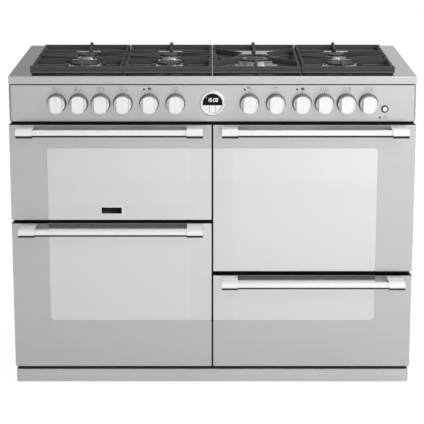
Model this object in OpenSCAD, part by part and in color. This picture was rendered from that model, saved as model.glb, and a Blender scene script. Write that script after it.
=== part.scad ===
// Freestanding range cooker: seven-burner gas hob over four ovens, 1100 mm wide.
// Millimetres. +X to the right, +Y to the back, +Z up. The origin is on the floor,
// at the middle of the overall box. Depths called "back" or "deep" below are
// measured from the front face of the hob and moved into place by at_trim().

/* [Overall] */
// Width over the hob and the doors
body_w = 1100; // [1000:10:1100]
// Depth of the body, from the hob's front face to the rear panel
body_d = 600; // [590:5:640]
// Height of the hob's steel surface above the floor
hob_z = 875; // [870:1:900]
// Thickness of the outer steel sheet
sheet = 1.5; // [1:0.1:2]

/* [Hob] */
// Height of the hob's front edge
trim_h = 21; // [18:1:24]
// Radius of the hob's folded edges
fold_r = 4; // [2:0.5:6]
// Depth of the round dish pressed in under each burner
dish_h = 3; // [2:0.5:4]
// Depth of the front burner row
front_row = 162; // [155:1:170]
// Depth of the rear burner row
rear_row = 322; // [315:1:330]
// Distance of the outer burners from the middle of the hob
outer_burner_x = 355; // [350:1:360]
// Distance of the inner burners from the middle of the hob
inner_burner_x = 120; // [115:1:125]

/* [Pan supports] */
// Half the width of the four pan supports together
support_half_w = 494; // [490:1:500]
// Distance from the middle of the hob to the joint between two supports
support_joint_x = 241; // [238:1:244]
// Where the pan supports start behind the hob's front face
support_front = 23; // [20:1:30]
// Front-to-back length of a pan support
support_d = 426; // [420:1:430]
// Height of the supports' top above the hob
support_h = 24; // [22:1:28]
// Width of a cast bar at its top
bar_w = 6; // [5:0.5:8]
// Width of the ledge along the foot of each bar
ledge_w = 11; // [10:0.5:13]
// Pitch of the raised lands on the side rails
land_pitch = 46; // [40:1:52]
// Radius round a burner's centre that the finger tips leave free
tip_r = 34; // [30:1:38]

/* [Control panel] */
// Height of the control panel's lower edge
panel_z = 752.3; // [750:0.1:754]
// Height of the panel
panel_h = 98.8; // [95:0.1:100]
// Radius of the panel's rounded ends
panel_end_r = 8; // [5:1:10]
// Height of the knobs' axes
knob_z = 801.7; // [800:0.1:804]
// Diameter of a knob's grip
knob_dia = 47; // [44:1:48]
// Diameter of a knob's base ring
knob_ring_dia = 54; // [50:1:55]
// Projection of a knob from the panel
knob_h = 34; // [30:1:38]
// Width of the raised grip bar across a knob
grip_w = 33; // [28:1:36]
// Outer diameter of the clock's bezel
clock_dia = 68.6; // [66:0.2:70]
// Diameter of the clock's face
clock_face_dia = 52; // [50:1:54]

/* [Doors] */
// Height of the lower doors' bottom edge
door_bottom = 59.6; // [58:0.1:62]
// Height of the upper doors' top edge
door_top = 745; // [740:1:747]
// Height of the main oven door, lower left
main_door_h = 410.9; // [400:0.1:412]
// Height of the slow oven door, lower right
slow_door_h = 262.5; // [255:0.1:265]
// Gap between the upper and lower doors on the left
left_gap = 10.5; // [10:0.5:12]
// Gap between the upper and lower doors on the right
right_gap = 13; // [10:0.5:14]
// Gap between the left and the right doors
mid_gap = 5; // [4:0.5:6]
// How far the doors' faces stand in front of the hob's edge
door_proud = 15; // [12:1:18]
// Half the width of the glass field that runs over all four doors
glass_half_w = 449.4; // [440:0.2:455]
// Lower edge of the glass field
glass_bottom = 192.6; // [185:0.1:200]
// Upper edge of the glass field
glass_top = 681.5; // [675:0.5:690]
// Thickness of a door glass
glass_t = 4; // [3:0.5:5]

/* [Handles] */
// Diameter of the handle bar
bar_dia = 20; // [18:1:22]
// Diameter of the sleeves at the bar's ends
sleeve_dia = 25.5; // [24:0.5:28]
// Length of an end sleeve
sleeve_l = 44; // [40:1:48]
// Distance of the bar's axis from the door face
handle_reach = 44; // [40:1:48]
// Distance of the bar's axis below the door's top edge
handle_drop = 16; // [15:0.5:18]
// Distance of the handle's end from the door's edge
handle_inset = 23; // [22:0.5:26]

/* [Ovens] */
// Width of each oven cavity
cavity_w = 410; // [390:5:420]
// Depth of each oven cavity
cavity_d = 420; // [400:5:430]
// Distance from the middle to the cavities' inner side walls
cavity_inner_x = 60; // [55:1:65]
// Thickness of the enamelled liners
liner_t = 2; // [1.5:0.5:2.5]
// Radius of the pins that the doors turn on
pin_r = 4; // [3.5:0.5:4.5]

/* [Base] */
// Height of the plinth's lower edge
plinth_z = 7; // [5:1:10]
// Height of the plinth
plinth_h = 36.9; // [34:0.1:38]
// Diameter of a levelling foot
foot_dia = 40; // [36:1:44]

/* [Hidden] */
$fn = 64;

steel = [0.75, 0.75, 0.75];
chrome = [0.88, 0.88, 0.88];
enamel = [0.10, 0.10, 0.11];
iron = [0.22, 0.22, 0.22];
zinc = [0.62, 0.63, 0.64];
glass_tint = [0.84, 0.86, 0.84];
black = [0.05, 0.05, 0.05];
white = [0.96, 0.96, 0.96];
brass = [0.72, 0.58, 0.30];

eps = 0.01;
half_w = body_w / 2;

// Depth planes behind the hob's front face
door_y = -door_proud;
door_t = 33;
frame_y = door_y + door_t;
frame_t = 2;
cavity_y = frame_y + frame_t;
cavity_back = cavity_y + cavity_d;
handle_y = door_y - handle_reach;
handle_front = handle_y - sleeve_dia / 2;
// Puts the hob's front face where the overall box is centred on the origin
trim_y = -(body_d + handle_front) / 2;

// Door rectangles: [left, right, bottom, top]
main_door = [-half_w, -mid_gap / 2, door_bottom, door_bottom + main_door_h];
grill_door = [-half_w, -mid_gap / 2, main_door[3] + left_gap, door_top];
slow_door = [mid_gap / 2, half_w, door_bottom, door_bottom + slow_door_h];
tall_door = [mid_gap / 2, half_w, slow_door[3] + right_gap, door_top];
doors = [grill_door, main_door, tall_door, slow_door];

// Cavity rectangles, in the same form
cavity_outer_x = cavity_inner_x + cavity_w;
grill_cavity = [-cavity_outer_x, -cavity_inner_x, grill_door[2] + 40, 715];
main_cavity = [-cavity_outer_x, -cavity_inner_x, main_door[2] + 46, main_door[3] - 30];
tall_cavity = [cavity_inner_x, cavity_outer_x, tall_door[2] + 40, 715];
slow_cavity = [cavity_inner_x, cavity_outer_x, slow_door[2] + 46, slow_door[3] - 30];
cavities = [grill_cavity, main_cavity, tall_cavity, slow_cavity];
cavity_r = 14;

// Hinge: its axis lies inside the door, just above the door's bottom edge
hinge_y = frame_y - 21;
hinge_up = 20;
hinge_clear_r = 20;
hinge_inset = 55;
ear_r = 6;
ear_t = 3;
arm_t = 6;
pin_gap = 0.06;

// Door build-up
skin_t = 1.2;
return_d = 27;
glass_corner_r = 12;
ledge_t = 3;
pane_lip = 14;
seal_t = 4;
inner_y = frame_y - seal_t - 0.3;
inner_gap = 0.6;

// Burners: [x, depth, radius of the crown]
burners = [
    [-outer_burner_x, front_row, 46],
    [-outer_burner_x, rear_row, 36],
    [-inner_burner_x, front_row, 38],
    [-inner_burner_x, rear_row, 38],
    [outer_burner_x, front_row, 46],
    [outer_burner_x, rear_row, 32]
];
wok = [inner_burner_x, (front_row + rear_row) / 2, 64];
head_h = 14;
cap_h = 5;
cup_r = 22;

// Knobs from left to right
gas_knob_x = [-421, -362, -302, -242, 302, 362, 421];
oven_knob_x = [-171, -100, 100, 171, 242];
spindle_r = 4;
spindle_gap = 0.1;
tap_l = 76;
pipe_y = 44;
manifold_y = 64;
manifold_z = knob_z - 24;
knob_gap = 0.8;

// Clock and push button
clock_step = 5;
middle_button_w = 16;
button_gap = 0.4;
button_x = 466;
button_z = 786;
button_r = 6.5;
button_ring_r = 10;

// Pan supports: gap between two of them, and heights above the hob
support_gap = 2.4;
foot_gap = 6;
ledge_h = 4;
land_h = 8;
stop_h = 7;

// Case: back edge of the control panel, posts, outer face of the side panels and
// front face of the rear panel
panel_back = frame_y - 0.5;
post_x = half_w - 5;
post_w = 25;
side_x = half_w - 2;
side_top = hob_z - trim_h - 2;
rear_y = body_d - 1.2 - sheet;
rear_half_w = 546;
rear_seam_x = 360;
rear_seam_z = 752;

// Base
base_z = plinth_z + plinth_h;
foot_stem_r = 5;
foot_x = 490;
foot_front = 70;
foot_back = body_d - 60;

// Fans
fan_r = 58;
fan_housing_r = 105;
fan_housing_d = 22;
motor_r = 34;
motor_l = 46;
shaft_r = 3;

// Services at the back
gas_inlet_x = 440;
gas_inlet_z = 800;
gas_inlet_r = 9.3;
cable_x = -440;
cable_z = 140;
cable_r = 9;

// ---- helpers ----

module at_trim() translate([0, trim_y, 0]) children();

// Block given by its ranges along X, Y and Z
module block(x, y, z)
    translate([x[0], y[0], z[0]])
        cube([x[1] - x[0], y[1] - y[0], z[1] - z[0]]);

// Stands a flat shape, drawn with Z up the page, from depth y to y + t
module upright(y, t)
    translate([0, y + t, 0])
        rotate([90, 0, 0])
            linear_extrude(t)
                children();

// Runs a side view, drawn with Y across and Z up, along X
module along_x(x, l)
    translate([x, 0, 0])
        rotate([90, 0, 90])
            linear_extrude(l)
                children();

module rod_x(x, y, z, r)
    translate([x[0], y, z])
        rotate([0, 90, 0])
            cylinder(h = x[1] - x[0], r = r);

module rod_y(x, y, z, r)
    translate([x, y[0], z])
        rotate([-90, 0, 0])
            cylinder(h = y[1] - y[0], r = r);

module rod_z(x, y, z, r)
    translate([x, y, z[0]])
        cylinder(h = z[1] - z[0], r = r);

// Rectangle from ranges, and the same with round corners
module rect(x, z)
    translate([x[0], z[0]])
        square([x[1] - x[0], z[1] - z[0]]);

module round_rect(x, z, r) {
    rect([x[0] + r, x[1] - r], z);
    rect(x, [z[0] + r, z[1] - r]);
    for (cx = [x[0] + r, x[1] - r], cz = [z[0] + r, z[1] - r])
        translate([cx, cz]) circle(r = r);
}

// Door or cavity rectangle, drawn in by a margin on every side
module inset_rect(d, margin, r = 0) {
    if (r > 0)
        round_rect([d[0] + margin, d[1] - margin], [d[2] + margin, d[3] - margin], r);
    else
        rect([d[0] + margin, d[1] - margin], [d[2] + margin, d[3] - margin]);
}

// ---- body ----

module front_frame()
    upright(frame_y, frame_t)
        difference() {
            rect([-half_w + 5, half_w - 5], [base_z, panel_z - 4]);
            for (c = cavities)
                inset_rect(c, 0, cavity_r);
        }

// Angle-section uprights and top rail of the right-hand side
module side_frame() {
    post_top = panel_z + panel_h - sheet;
    block([post_x - post_w, post_x], [panel_back, cavity_y + eps], [panel_z, panel_z + panel_h]);
    block([post_x - post_w, post_x], [cavity_y, cavity_y + frame_t], [base_z, panel_z + panel_h]);
    block([post_x - frame_t, post_x], [cavity_y, cavity_y + post_w], [base_z, post_top]);
    block([post_x - post_w, post_x], [rear_y - frame_t, rear_y], [base_z, post_top]);
    block([post_x - frame_t, post_x], [rear_y - post_w, rear_y], [base_z, post_top]);
    block([post_x - frame_t, post_x], [cavity_y + 10, rear_y - 5], [post_top - 24, hob_z - sheet]);
}

// Fork with its pin, for one side of one door
module hinge_fork(x, z) {
    for (side = [-1, 1]) {
        inner = arm_t / 2 + 0.5;
        x0 = side > 0 ? x + inner : x - inner - ear_t;
        along_x(x0, ear_t) {
            translate([hinge_y, z]) circle(r = ear_r);
            rect([hinge_y, frame_y + eps], [z - ear_r, z + ear_r]);
        }
    }
    rod_x([x - 8, x + 8], hinge_y, z, pin_r);
}

module chassis()
    color(enamel) at_trim() {
        front_frame();
        difference() {
            block([-post_x, post_x], [cavity_y, rear_y], [base_z, base_z + 22]);
            block(
                [-post_x + frame_t, post_x - frame_t],
                [cavity_y - 1, rear_y - frame_t],
                [base_z + frame_t, base_z + 23]
            );
            for (x = [-foot_x, foot_x], y = [foot_front, foot_back])
                rod_z(x, y, [base_z - 1, base_z + 3], foot_stem_r + 0.15);
        }
        side_frame();
        mirror([1, 0, 0]) side_frame();
        block([-post_x, post_x], [rear_y - 7, rear_y - 5], [hob_z - 58, hob_z - sheet]);
        block([-20, 20], [cavity_y, cavity_y + 30], [base_z + 2, panel_z - 4]);
        for (d = doors, x = [d[0] + hinge_inset, d[1] - hinge_inset])
            hinge_fork(x, d[2] + hinge_up);
    }

module side_panels()
    color(iron) at_trim()
        for (side = [-1, 1])
            mirror([side > 0 ? 0 : 1, 0, 0]) {
                block([side_x - sheet, side_x], [frame_y, body_d], [base_z, side_top]);
                block([post_x, side_x], [frame_y, cavity_y], [base_z, side_top]);
                block([side_x - 20, side_x], [body_d - 1.2, body_d], [base_z, side_top]);
            }

// Three sheets: the large one, one along the top and a small one round the gas inlet
module rear_panel()
    color(zinc) at_trim() {
        upright(rear_y, sheet)
            difference() {
                rect([-rear_half_w, rear_half_w], [base_z, rear_seam_z]);
                for (column = [-1, 1], slot = [0:9])
                    round_rect(
                        [column * 265 - 90, column * 265 + 90],
                        [590 + slot * 14, 595 + slot * 14],
                        2.4
                    );
                translate([cable_x, cable_z]) circle(r = cable_r);
            }
        upright(rear_y, sheet)
            rect([-rear_half_w, rear_seam_x], [rear_seam_z + 1, side_top]);
        upright(rear_y, sheet)
            difference() {
                rect([rear_seam_x + 1, rear_half_w], [rear_seam_z + 1, side_top]);
                translate([gas_inlet_x, gas_inlet_z]) circle(r = 26);
            }
        difference() {
            rod_y(cable_x, [rear_y - 6, rear_y], cable_z, cable_r + 6);
            rod_y(cable_x, [rear_y - 7, body_d], cable_z, cable_r);
        }
    }

module plinth()
    color(steel) at_trim()
        translate([0, 0, plinth_z])
            difference() {
                linear_extrude(plinth_h)
                    round_rect([-half_w, half_w], [5, 60], 6);
                translate([0, 0, -1])
                    linear_extrude(plinth_h - sheet + 1)
                        round_rect([-half_w + sheet, half_w - sheet], [5 + sheet, 70], 4.5);
                block([-half_w - 1, half_w + 1], [34, 61], [-1, plinth_h + 1]);
                block([-520, 520], [24, 61], [-1, plinth_h + 1]);
            }

module levelling_foot(x, y) {
    rod_z(x, y, [0, 4], foot_dia / 2);
    translate([x, y, 4]) cylinder(h = 6, r1 = foot_dia / 2, r2 = 10);
    rod_z(x, y, [10, base_z + 14], foot_stem_r);
    translate([x, y, base_z - 7]) cylinder(h = 7, r = 9.8, $fn = 6);
}

module levelling_feet()
    color(black) at_trim()
        for (x = [-foot_x, foot_x], y = [foot_front, foot_back])
            levelling_foot(x, y);

// ---- hob ----

// Side view of the hob's folded tray, filled
module hob_profile(inset)
    difference() {
        round_rect(
            [inset, body_d - inset],
            [hob_z - trim_h - 20, hob_z - inset],
            fold_r - inset
        );
        rect([-1, body_d + 1], [hob_z - trim_h - 21, hob_z - trim_h]);
    }

module dish_cut(b)
    translate([b[0], b[1], hob_z - dish_h - sheet - eps])
        cylinder(h = dish_h + sheet + 1, r = b[2] + 14);

module dish(b)
    translate([b[0], b[1], hob_z])
        rotate_extrude()
            polygon([
                [cup_r + 0.5, -dish_h],
                [b[2] + 8, -dish_h],
                [b[2] + 14, 0],
                [b[2] + 14 + eps, 0],
                [b[2] + 14 + eps, -sheet],
                [b[2] + 8.5, -dish_h - sheet],
                [cup_r + 0.5, -dish_h - sheet]
            ]);

module hob_top()
    color(steel) at_trim() {
        difference() {
            along_x(-half_w, body_w)
                hob_profile(0);
            along_x(-half_w + sheet, body_w - 2 * sheet)
                hob_profile(sheet);
            for (b = concat(burners, [wok]))
                dish_cut(b);
        }
        for (b = concat(burners, [wok]))
            dish(b);
    }

// Aluminium crown with its flame ports, standing in the hob's dish
module burner_head(b) {
    floor_z = hob_z - dish_h;
    ports = round(b[2] * 0.8);
    translate([b[0], b[1], floor_z]) {
        rod_z(0, 0, [0, 3], b[2] + 4);
        rod_z(0, 0, [-9, 0], cup_r);
        translate([0, 0, 3]) cylinder(h = head_h - 7, r1 = b[2] * 0.8, r2 = b[2] * 0.72);
        translate([0, 0, head_h - 4])
            linear_extrude(4)
                difference() {
                    circle(r = b[2]);
                    for (i = [0:ports - 1])
                        rotate(i * 360 / ports)
                            translate([b[2] - 5, -1])
                                square([6, 2]);
                }
    }
}

// The wok burner adds an outer ring of flame round a middle head
module wok_head() {
    floor_z = hob_z - dish_h;
    ports = 44;
    translate([wok[0], wok[1], floor_z]) {
        rod_z(0, 0, [0, 3], wok[2] + 4);
        rod_z(0, 0, [-9, 0], cup_r);
        rod_z(0, 0, [3, head_h], 20);
        for (i = [0:3])
            rotate(i * 90 + 45)
                block([15, 50], [-6, 6], [3, 8]);
        difference() {
            translate([0, 0, 3]) cylinder(h = head_h - 5, r = wok[2] * 0.92);
            translate([0, 0, 2]) cylinder(h = head_h, r = 40);
        }
        translate([0, 0, head_h - 2])
            linear_extrude(4)
                difference() {
                    circle(r = wok[2]);
                    circle(r = 38);
                    for (i = [0:ports - 1])
                        rotate(i * 360 / ports)
                            translate([wok[2] - 6, -1])
                                square([7, 2]);
                }
    }
}

module burner_heads()
    color(chrome) at_trim() {
        for (b = burners)
            burner_head(b);
        wok_head();
    }

// Round-edged enamelled lid
module cap_form(r, inner_r, h)
    rotate_extrude()
        difference() {
            union() {
                rect([inner_r, r - 2], [0, h]);
                rect([inner_r, r], [0, h - 2]);
                translate([r - 2, h - 2]) circle(r = 2);
            }
            rect([-r, inner_r], [-1, h + 1]);
        }

module burner_caps()
    color(enamel) at_trim() {
        for (b = burners)
            translate([b[0], b[1], hob_z - dish_h + head_h])
                cap_form(b[2] - 3, 0, cap_h);
        translate([wok[0], wok[1], hob_z - dish_h + head_h]) {
            cap_form(24, 0, cap_h);
            translate([0, 0, 2])
                cap_form(wok[2] - 3, 41, cap_h - 1);
        }
    }

// ---- pan supports ----

bar_z = hob_z + foot_gap;
bar_top = hob_z + support_h;
land_top = bar_top - 1;
support_back = support_front + support_d;

// Straight cast bar with its ledge. A finger's last stretch, as long as "over",
// is arched up so that it passes above the burner's cap. "lift" thins its foot.
module cast_bar(from, to, over = 0, lift = 0, top = bar_top) {
    run = [to[0] - from[0], to[1] - from[1]];
    l = norm(run);
    h = top - bar_z;
    low = over > 0 ? l - over - 5 : l;
    translate([from[0], from[1], bar_z])
        rotate(atan2(run[1], run[0])) {
            rotate([90, 0, 0])
                translate([0, 0, -bar_w / 2])
                    linear_extrude(bar_w)
                        polygon(
                            over > 0
                                ? [[0, lift], [low, lift], [low + 6, h - 6], [l, h - 5], [l, h], [0, h]]
                                : [[0, 0], [l, 0], [l, h], [0, h]]
                        );
            block([0, over > 0 ? low - 2 : l], [-ledge_w / 2, ledge_w / 2], [lift, ledge_h - lift]);
        }
}

// Side rail with raised lands along its top
module side_rail(x) {
    lands = floor(support_d / land_pitch);
    pitch = support_d / lands;
    along_x(x - bar_w / 2, bar_w) {
        rect([support_front, support_back], [bar_z, bar_top - land_h]);
        for (i = [0:lands - 1])
            translate([support_front + (i + 0.5) * pitch, bar_z])
                polygon([[-15, 1], [15, 1], [11, land_top - bar_z], [-11, land_top - bar_z]]);
    }
    block([x - ledge_w / 2, x + ledge_w / 2], [support_front, support_back], [bar_z, bar_z + ledge_h]);
}

module support_frame(x0, x1, stop_x) {
    left = x0 + (ledge_w + support_gap) / 2;
    right = x1 - (ledge_w + support_gap) / 2;
    side_rail(left);
    side_rail(right);
    for (y = [support_front + bar_w / 2, support_back - bar_w / 2])
        cast_bar([left - ledge_w / 2, y], [right + ledge_w / 2, y], top = bar_top - 0.5);
    for (x = [left + 6, right - 6], y = [support_front + 16, support_back - 16])
        rod_z(x, y, [hob_z, bar_z + 1], 5);
    translate([stop_x, support_back - 5, bar_top - 1])
        cylinder(h = stop_h + 1, r1 = 6, r2 = 3.5);
}

// Five fingers that meet over one burner: two from the rails at its row, one from
// the near end bar and two slanting in from the middle of the side rails
module burner_fingers(x0, x1, b) {
    left = x0 + ledge_w / 2;
    right = x1 - ledge_w / 2;
    middle = wok[1];
    toward = b[1] < middle ? 1 : -1;
    end_y = b[1] < middle ? support_front + 1 : support_back - 1;
    over = b[2] + 8 - tip_r;
    cast_bar([left, b[1]], [b[0] - tip_r, b[1]], over);
    cast_bar([right, b[1]], [b[0] + tip_r, b[1]], over);
    cast_bar([b[0], end_y], [b[0], b[1] - toward * tip_r], over);
    for (side = [-1, 1])
        cast_bar(
            [side < 0 ? left : right, middle - toward * 8],
            [b[0] + side * tip_r * 0.6, b[1] + toward * tip_r * 0.85],
            over,
            0.4
        );
}

module double_support(x0, x1, pair)
    color(iron) at_trim() {
        support_frame(x0, x1, pair[0][0]);
        for (b = pair)
            burner_fingers(x0, x1, b);
    }

// The wok support carries its pan on four slanting fingers and two straight ones
module wok_support()
    color(iron) at_trim() {
        support_frame(0, support_joint_x, wok[0]);
        over = wok[2] + 8 - 58;
        for (side = [-1, 1], end = [-1, 1]) {
            rail_x = side < 0 ? ledge_w / 2 : support_joint_x - ledge_w / 2;
            cast_bar([rail_x, wok[1] + end * 128], [wok[0] + side * 38, wok[1] + end * 46], over, 0.4);
        }
        cast_bar([wok[0], support_front + 1], [wok[0], wok[1] - 58], over);
        cast_bar([wok[0], support_back - 1], [wok[0], wok[1] + 58], over);
    }

// ---- control panel ----

module spindle_holes(r)
    for (x = concat(gas_knob_x, oven_knob_x))
        rod_y(x, [-1, 5], knob_z, r);

module control_panel()
    color(steel) at_trim()
        difference() {
            translate([0, 0, panel_z])
                linear_extrude(panel_h)
                    round_rect([-half_w, half_w], [0, 60], panel_end_r);
            translate([0, 0, panel_z + sheet])
                linear_extrude(panel_h - 2 * sheet)
                    round_rect(
                        [-half_w + sheet, half_w - sheet],
                        [sheet, 61],
                        panel_end_r - sheet
                    );
            block([-half_w - 1, half_w + 1], [panel_back, 62], [panel_z - 1, panel_z + panel_h + 1]);
            spindle_holes(spindle_r + 1.5);
            rod_y(0, [-1, 5], knob_z, clock_face_dia / 2 + 1);
            rod_y(button_x, [-1, 5], button_z, button_ring_r - 2);
        }

module timer_bezel()
    color(chrome) at_trim()
        translate([0, 0, knob_z])
            rotate([90, 0, 0])
                rotate_extrude() {
                    ring = (clock_dia - clock_face_dia) / 2;
                    rect([clock_face_dia / 2, clock_dia / 2], [0, 1.2]);
                    translate([clock_face_dia / 2 + ring / 2, 1.2])
                        intersection() {
                            circle(r = ring / 2);
                            rect([-ring, ring], [-eps, ring]);
                        }
                }

// Lower part of the clock's face, where the buttons are
module button_field(x, margin)
    intersection() {
        circle(r = clock_face_dia / 2 - margin);
        rect([x[0] + margin, x[1] - margin], [-clock_face_dia / 2, -clock_step - margin]);
    }

module timer_button(x)
    color(white) at_trim()
        translate([0, -0.4, knob_z])
            rotate([90, 0, 0])
                translate([0, 0, -7])
                    linear_extrude(9)
                        button_field(x, button_gap);

timer_columns = [
    [-clock_face_dia / 2, -middle_button_w / 2],
    [-middle_button_w / 2, middle_button_w / 2],
    [middle_button_w / 2, clock_face_dia / 2]
];

// Clock body with its dark face, the five oven switches and the push button's switch
module timer_and_switch_bodies()
    color(black) at_trim() {
        difference() {
            union() {
                rod_y(0, [-1.2, sheet + 2], knob_z, clock_face_dia / 2 - 0.2);
                block([-36, 36], [sheet, 40], [knob_z - 36, knob_z + 36]);
            }
            translate([0, 9, knob_z])
                rotate([90, 0, 0])
                    linear_extrude(20)
                        button_field([-clock_face_dia / 2 - 2, clock_face_dia / 2 + 2], 0);
        }
        for (x = oven_knob_x)
            difference() {
                union() {
                    rod_y(x, [sheet, 8], knob_z, 11);
                    block([x - 19, x + 19], [8, 44], [knob_z - 22, knob_z + 22]);
                }
                rod_y(x, [0, 40], knob_z, spindle_r + spindle_gap);
            }
        difference() {
            union() {
                rod_y(button_x, [-2, 0], button_z, button_ring_r);
                rod_y(button_x, [-2, 20], button_z, button_ring_r - 2.2);
            }
            rod_y(button_x, [-3, 12], button_z, button_r + 0.3);
        }
    }

module ignition_button()
    color(white) at_trim() {
        rod_y(button_x, [-5, 9.5], button_z, button_r);
        translate([button_x, -5, button_z])
            rotate([90, 0, 0]) cylinder(h = 1, r1 = button_r, r2 = button_r - 1);
    }

// Knob: base ring, tapered drum and a full-height grip bar across the face
module knob(x)
    color(chrome) at_trim()
        translate([x, 0, knob_z])
            rotate([90, 0, 0]) {
                translate([0, 0, knob_gap])
                    cylinder(h = 4, r1 = knob_ring_dia / 2, r2 = knob_ring_dia / 2 - 1);
                translate([0, 0, knob_gap + 4])
                    cylinder(h = knob_h * 0.5, r1 = knob_dia / 2 + 1.5, r2 = knob_dia / 2);
                translate([0, 0, knob_gap + 4])
                    linear_extrude(knob_h - knob_gap - 5.5)
                        intersection() {
                            circle(r = knob_dia / 2);
                            rect([-grip_w / 2, grip_w / 2], [-knob_dia, knob_dia]);
                        }
                translate([0, 0, knob_h - 1.5 - eps])
                    linear_extrude(1.5)
                        intersection() {
                            circle(r = knob_dia / 2 - 1);
                            rect([-grip_w / 2 + 1, grip_w / 2 - 1], [-knob_dia, knob_dia]);
                        }
                translate([0, 0, -30]) cylinder(h = 31, r = spindle_r);
            }

// ---- gas ----

// Straight runs of tube from point to point, with a ball elbow at each turn
module tube_route(points, r, elbow_r) {
    trim = r + 0.5;
    last = len(points) - 1;
    for (i = [0:last - 1]) {
        run = points[i + 1] - points[i];
        u = run / norm(run);
        from = i == 0 ? points[i] : points[i] + u * trim;
        to = i == last - 1 ? points[i + 1] : points[i + 1] - u * trim;
        translate(from)
            rotate([0, acos(u[2]), atan2(u[1], u[0])])
                cylinder(h = norm(to - from), r = r);
    }
    for (i = [1:last - 1])
        translate(points[i]) sphere(r = elbow_r);
}

// Pipe from a tap up, back to its burner and up into the injector cup
module gas_pipe(tap_x, b, level)
    tube_route([
        [tap_x, pipe_y, knob_z + 2],
        [tap_x, pipe_y, level],
        [b[0], b[1], level],
        [b[0], b[1], hob_z - 30]
    ], 4, 7);

module injector_cup(b)
    translate([b[0], b[1], hob_z - 32])
        difference() {
            union() {
                cylinder(h = 32 - dish_h - sheet, r = cup_r + 3);
                translate([0, 0, 30 - dish_h - sheet]) cylinder(h = 2, r = cup_r + 10);
            }
            translate([0, 0, 8]) cylinder(h = 40, r = cup_r + 0.5);
        }

gas_routes = [
    [gas_knob_x[0], burners[0], hob_z - 42],
    [gas_knob_x[1], burners[1], hob_z - 58],
    [gas_knob_x[2], burners[2], hob_z - 42],
    [gas_knob_x[3], burners[3], hob_z - 58],
    [gas_knob_x[4], wok, hob_z - 42],
    [gas_knob_x[5], burners[4], hob_z - 42],
    [gas_knob_x[6], burners[5], hob_z - 58]
];

module gas_train()
    color(brass) at_trim() {
        for (x = gas_knob_x)
            difference() {
                union() {
                    rod_y(x, [sheet, tap_l], knob_z, 11);
                    rod_z(x, manifold_y, [manifold_z + 2, knob_z - 1], 7);
                }
                rod_y(x, [0, 32], knob_z, spindle_r + spindle_gap);
            }
        rod_x([-450, gas_inlet_x + 20], manifold_y, manifold_z, 9);
        tube_route([
            [gas_inlet_x, manifold_y + 2, manifold_z],
            [gas_inlet_x, body_d - 45, manifold_z],
            [gas_inlet_x, body_d - 45, gas_inlet_z],
            [gas_inlet_x, body_d - 30, gas_inlet_z]
        ], 6.5, 9.5);
        difference() {
            rod_y(gas_inlet_x, [body_d - 34, body_d - 4], gas_inlet_z, 14);
            rod_y(gas_inlet_x, [body_d - 19, body_d], gas_inlet_z, gas_inlet_r);
        }
        for (route = gas_routes) {
            gas_pipe(route[0], route[1], route[2]);
            injector_cup(route[1]);
        }
    }

// ---- ovens ----

// Enamelled box, open to the front, with a flange behind the front frame
module liner_shell(c, has_fan = false) {
    difference() {
        upright(cavity_y, cavity_d + liner_t)
            inset_rect(c, -liner_t, cavity_r + liner_t);
        upright(cavity_y - 1, cavity_d + 1)
            inset_rect(c, 0, cavity_r);
        if (has_fan)
            rod_y((c[0] + c[1]) / 2, [cavity_back - 1, cavity_back + 5], fan_z(c), 8);
    }
    upright(cavity_y, liner_t)
        difference() {
            inset_rect(c, -12, cavity_r + 12);
            inset_rect(c, 0, cavity_r);
        }
}

function fan_z(c) = (c[2] + c[3]) / 2;
function fan_x(c) = (c[0] + c[1]) / 2;
rack_cavities = [main_cavity, tall_cavity, slow_cavity];
fan_cavities = [main_cavity, tall_cavity];

// The grill oven has pressed ledges that carry its pan
ledge_z = grill_cavity[2] + 60;
module liner_grill_oven()
    color(enamel) at_trim() {
        liner_shell(grill_cavity);
        for (z = [ledge_z - 38, ledge_z]) {
            block([grill_cavity[0], grill_cavity[0] + 12], [cavity_y + 30, cavity_back], [z - 4, z]);
            block([grill_cavity[1] - 12, grill_cavity[1]], [cavity_y + 30, cavity_back], [z - 4, z]);
        }
    }

module liner_main_oven() color(enamel) at_trim() liner_shell(main_cavity, true);
module liner_tall_oven() color(enamel) at_trim() liner_shell(tall_cavity, true);
module liner_slow_oven() color(enamel) at_trim() liner_shell(slow_cavity);

// Shallow enamelled pan that hangs by its rim on the ledges
module grill_pan()
    color(enamel) at_trim() {
        x = [grill_cavity[0] + 3, grill_cavity[1] - 3];
        y = [cavity_y + 40, cavity_back - 40];
        depth = 30;
        translate([0, 0, ledge_z])
            linear_extrude(1.5)
                difference() {
                    round_rect(x, y, 14);
                    round_rect([x[0] + 14, x[1] - 14], [y[0] + 12, y[1] - 12], 12);
                }
        difference() {
            translate([0, 0, ledge_z - depth])
                linear_extrude(depth + eps)
                    round_rect([x[0] + 12.5, x[1] - 12.5], [y[0] + 10.5, y[1] - 10.5], 13);
            translate([0, 0, ledge_z - depth + 1.5])
                linear_extrude(depth + 1)
                    round_rect([x[0] + 14, x[1] - 14], [y[0] + 12, y[1] - 12], 12);
        }
    }

wire_r = 2.5;

// Ladder of wire on one side wall
module side_rack(c, side) {
    x = side < 0 ? c[0] + wire_r : c[1] - wire_r;
    y = [cavity_y + 30, cavity_back - 40];
    rungs = max(2, floor((c[3] - c[2] - 60) / 55));
    for (end = y)
        rod_z(x, end, [c[2] + 30, c[3] - 30], wire_r);
    for (i = [0:rungs - 1])
        rod_y(x + (side < 0 ? 1 : -1) * 4, [y[0] - 8, y[1] + 8], rung_z(c, i), wire_r);
}

function rung_z(c, i) = c[2] + 42 + i * 55;
function shelf_z(c) = rung_z(c, 0) + 2 * wire_r;

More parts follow.
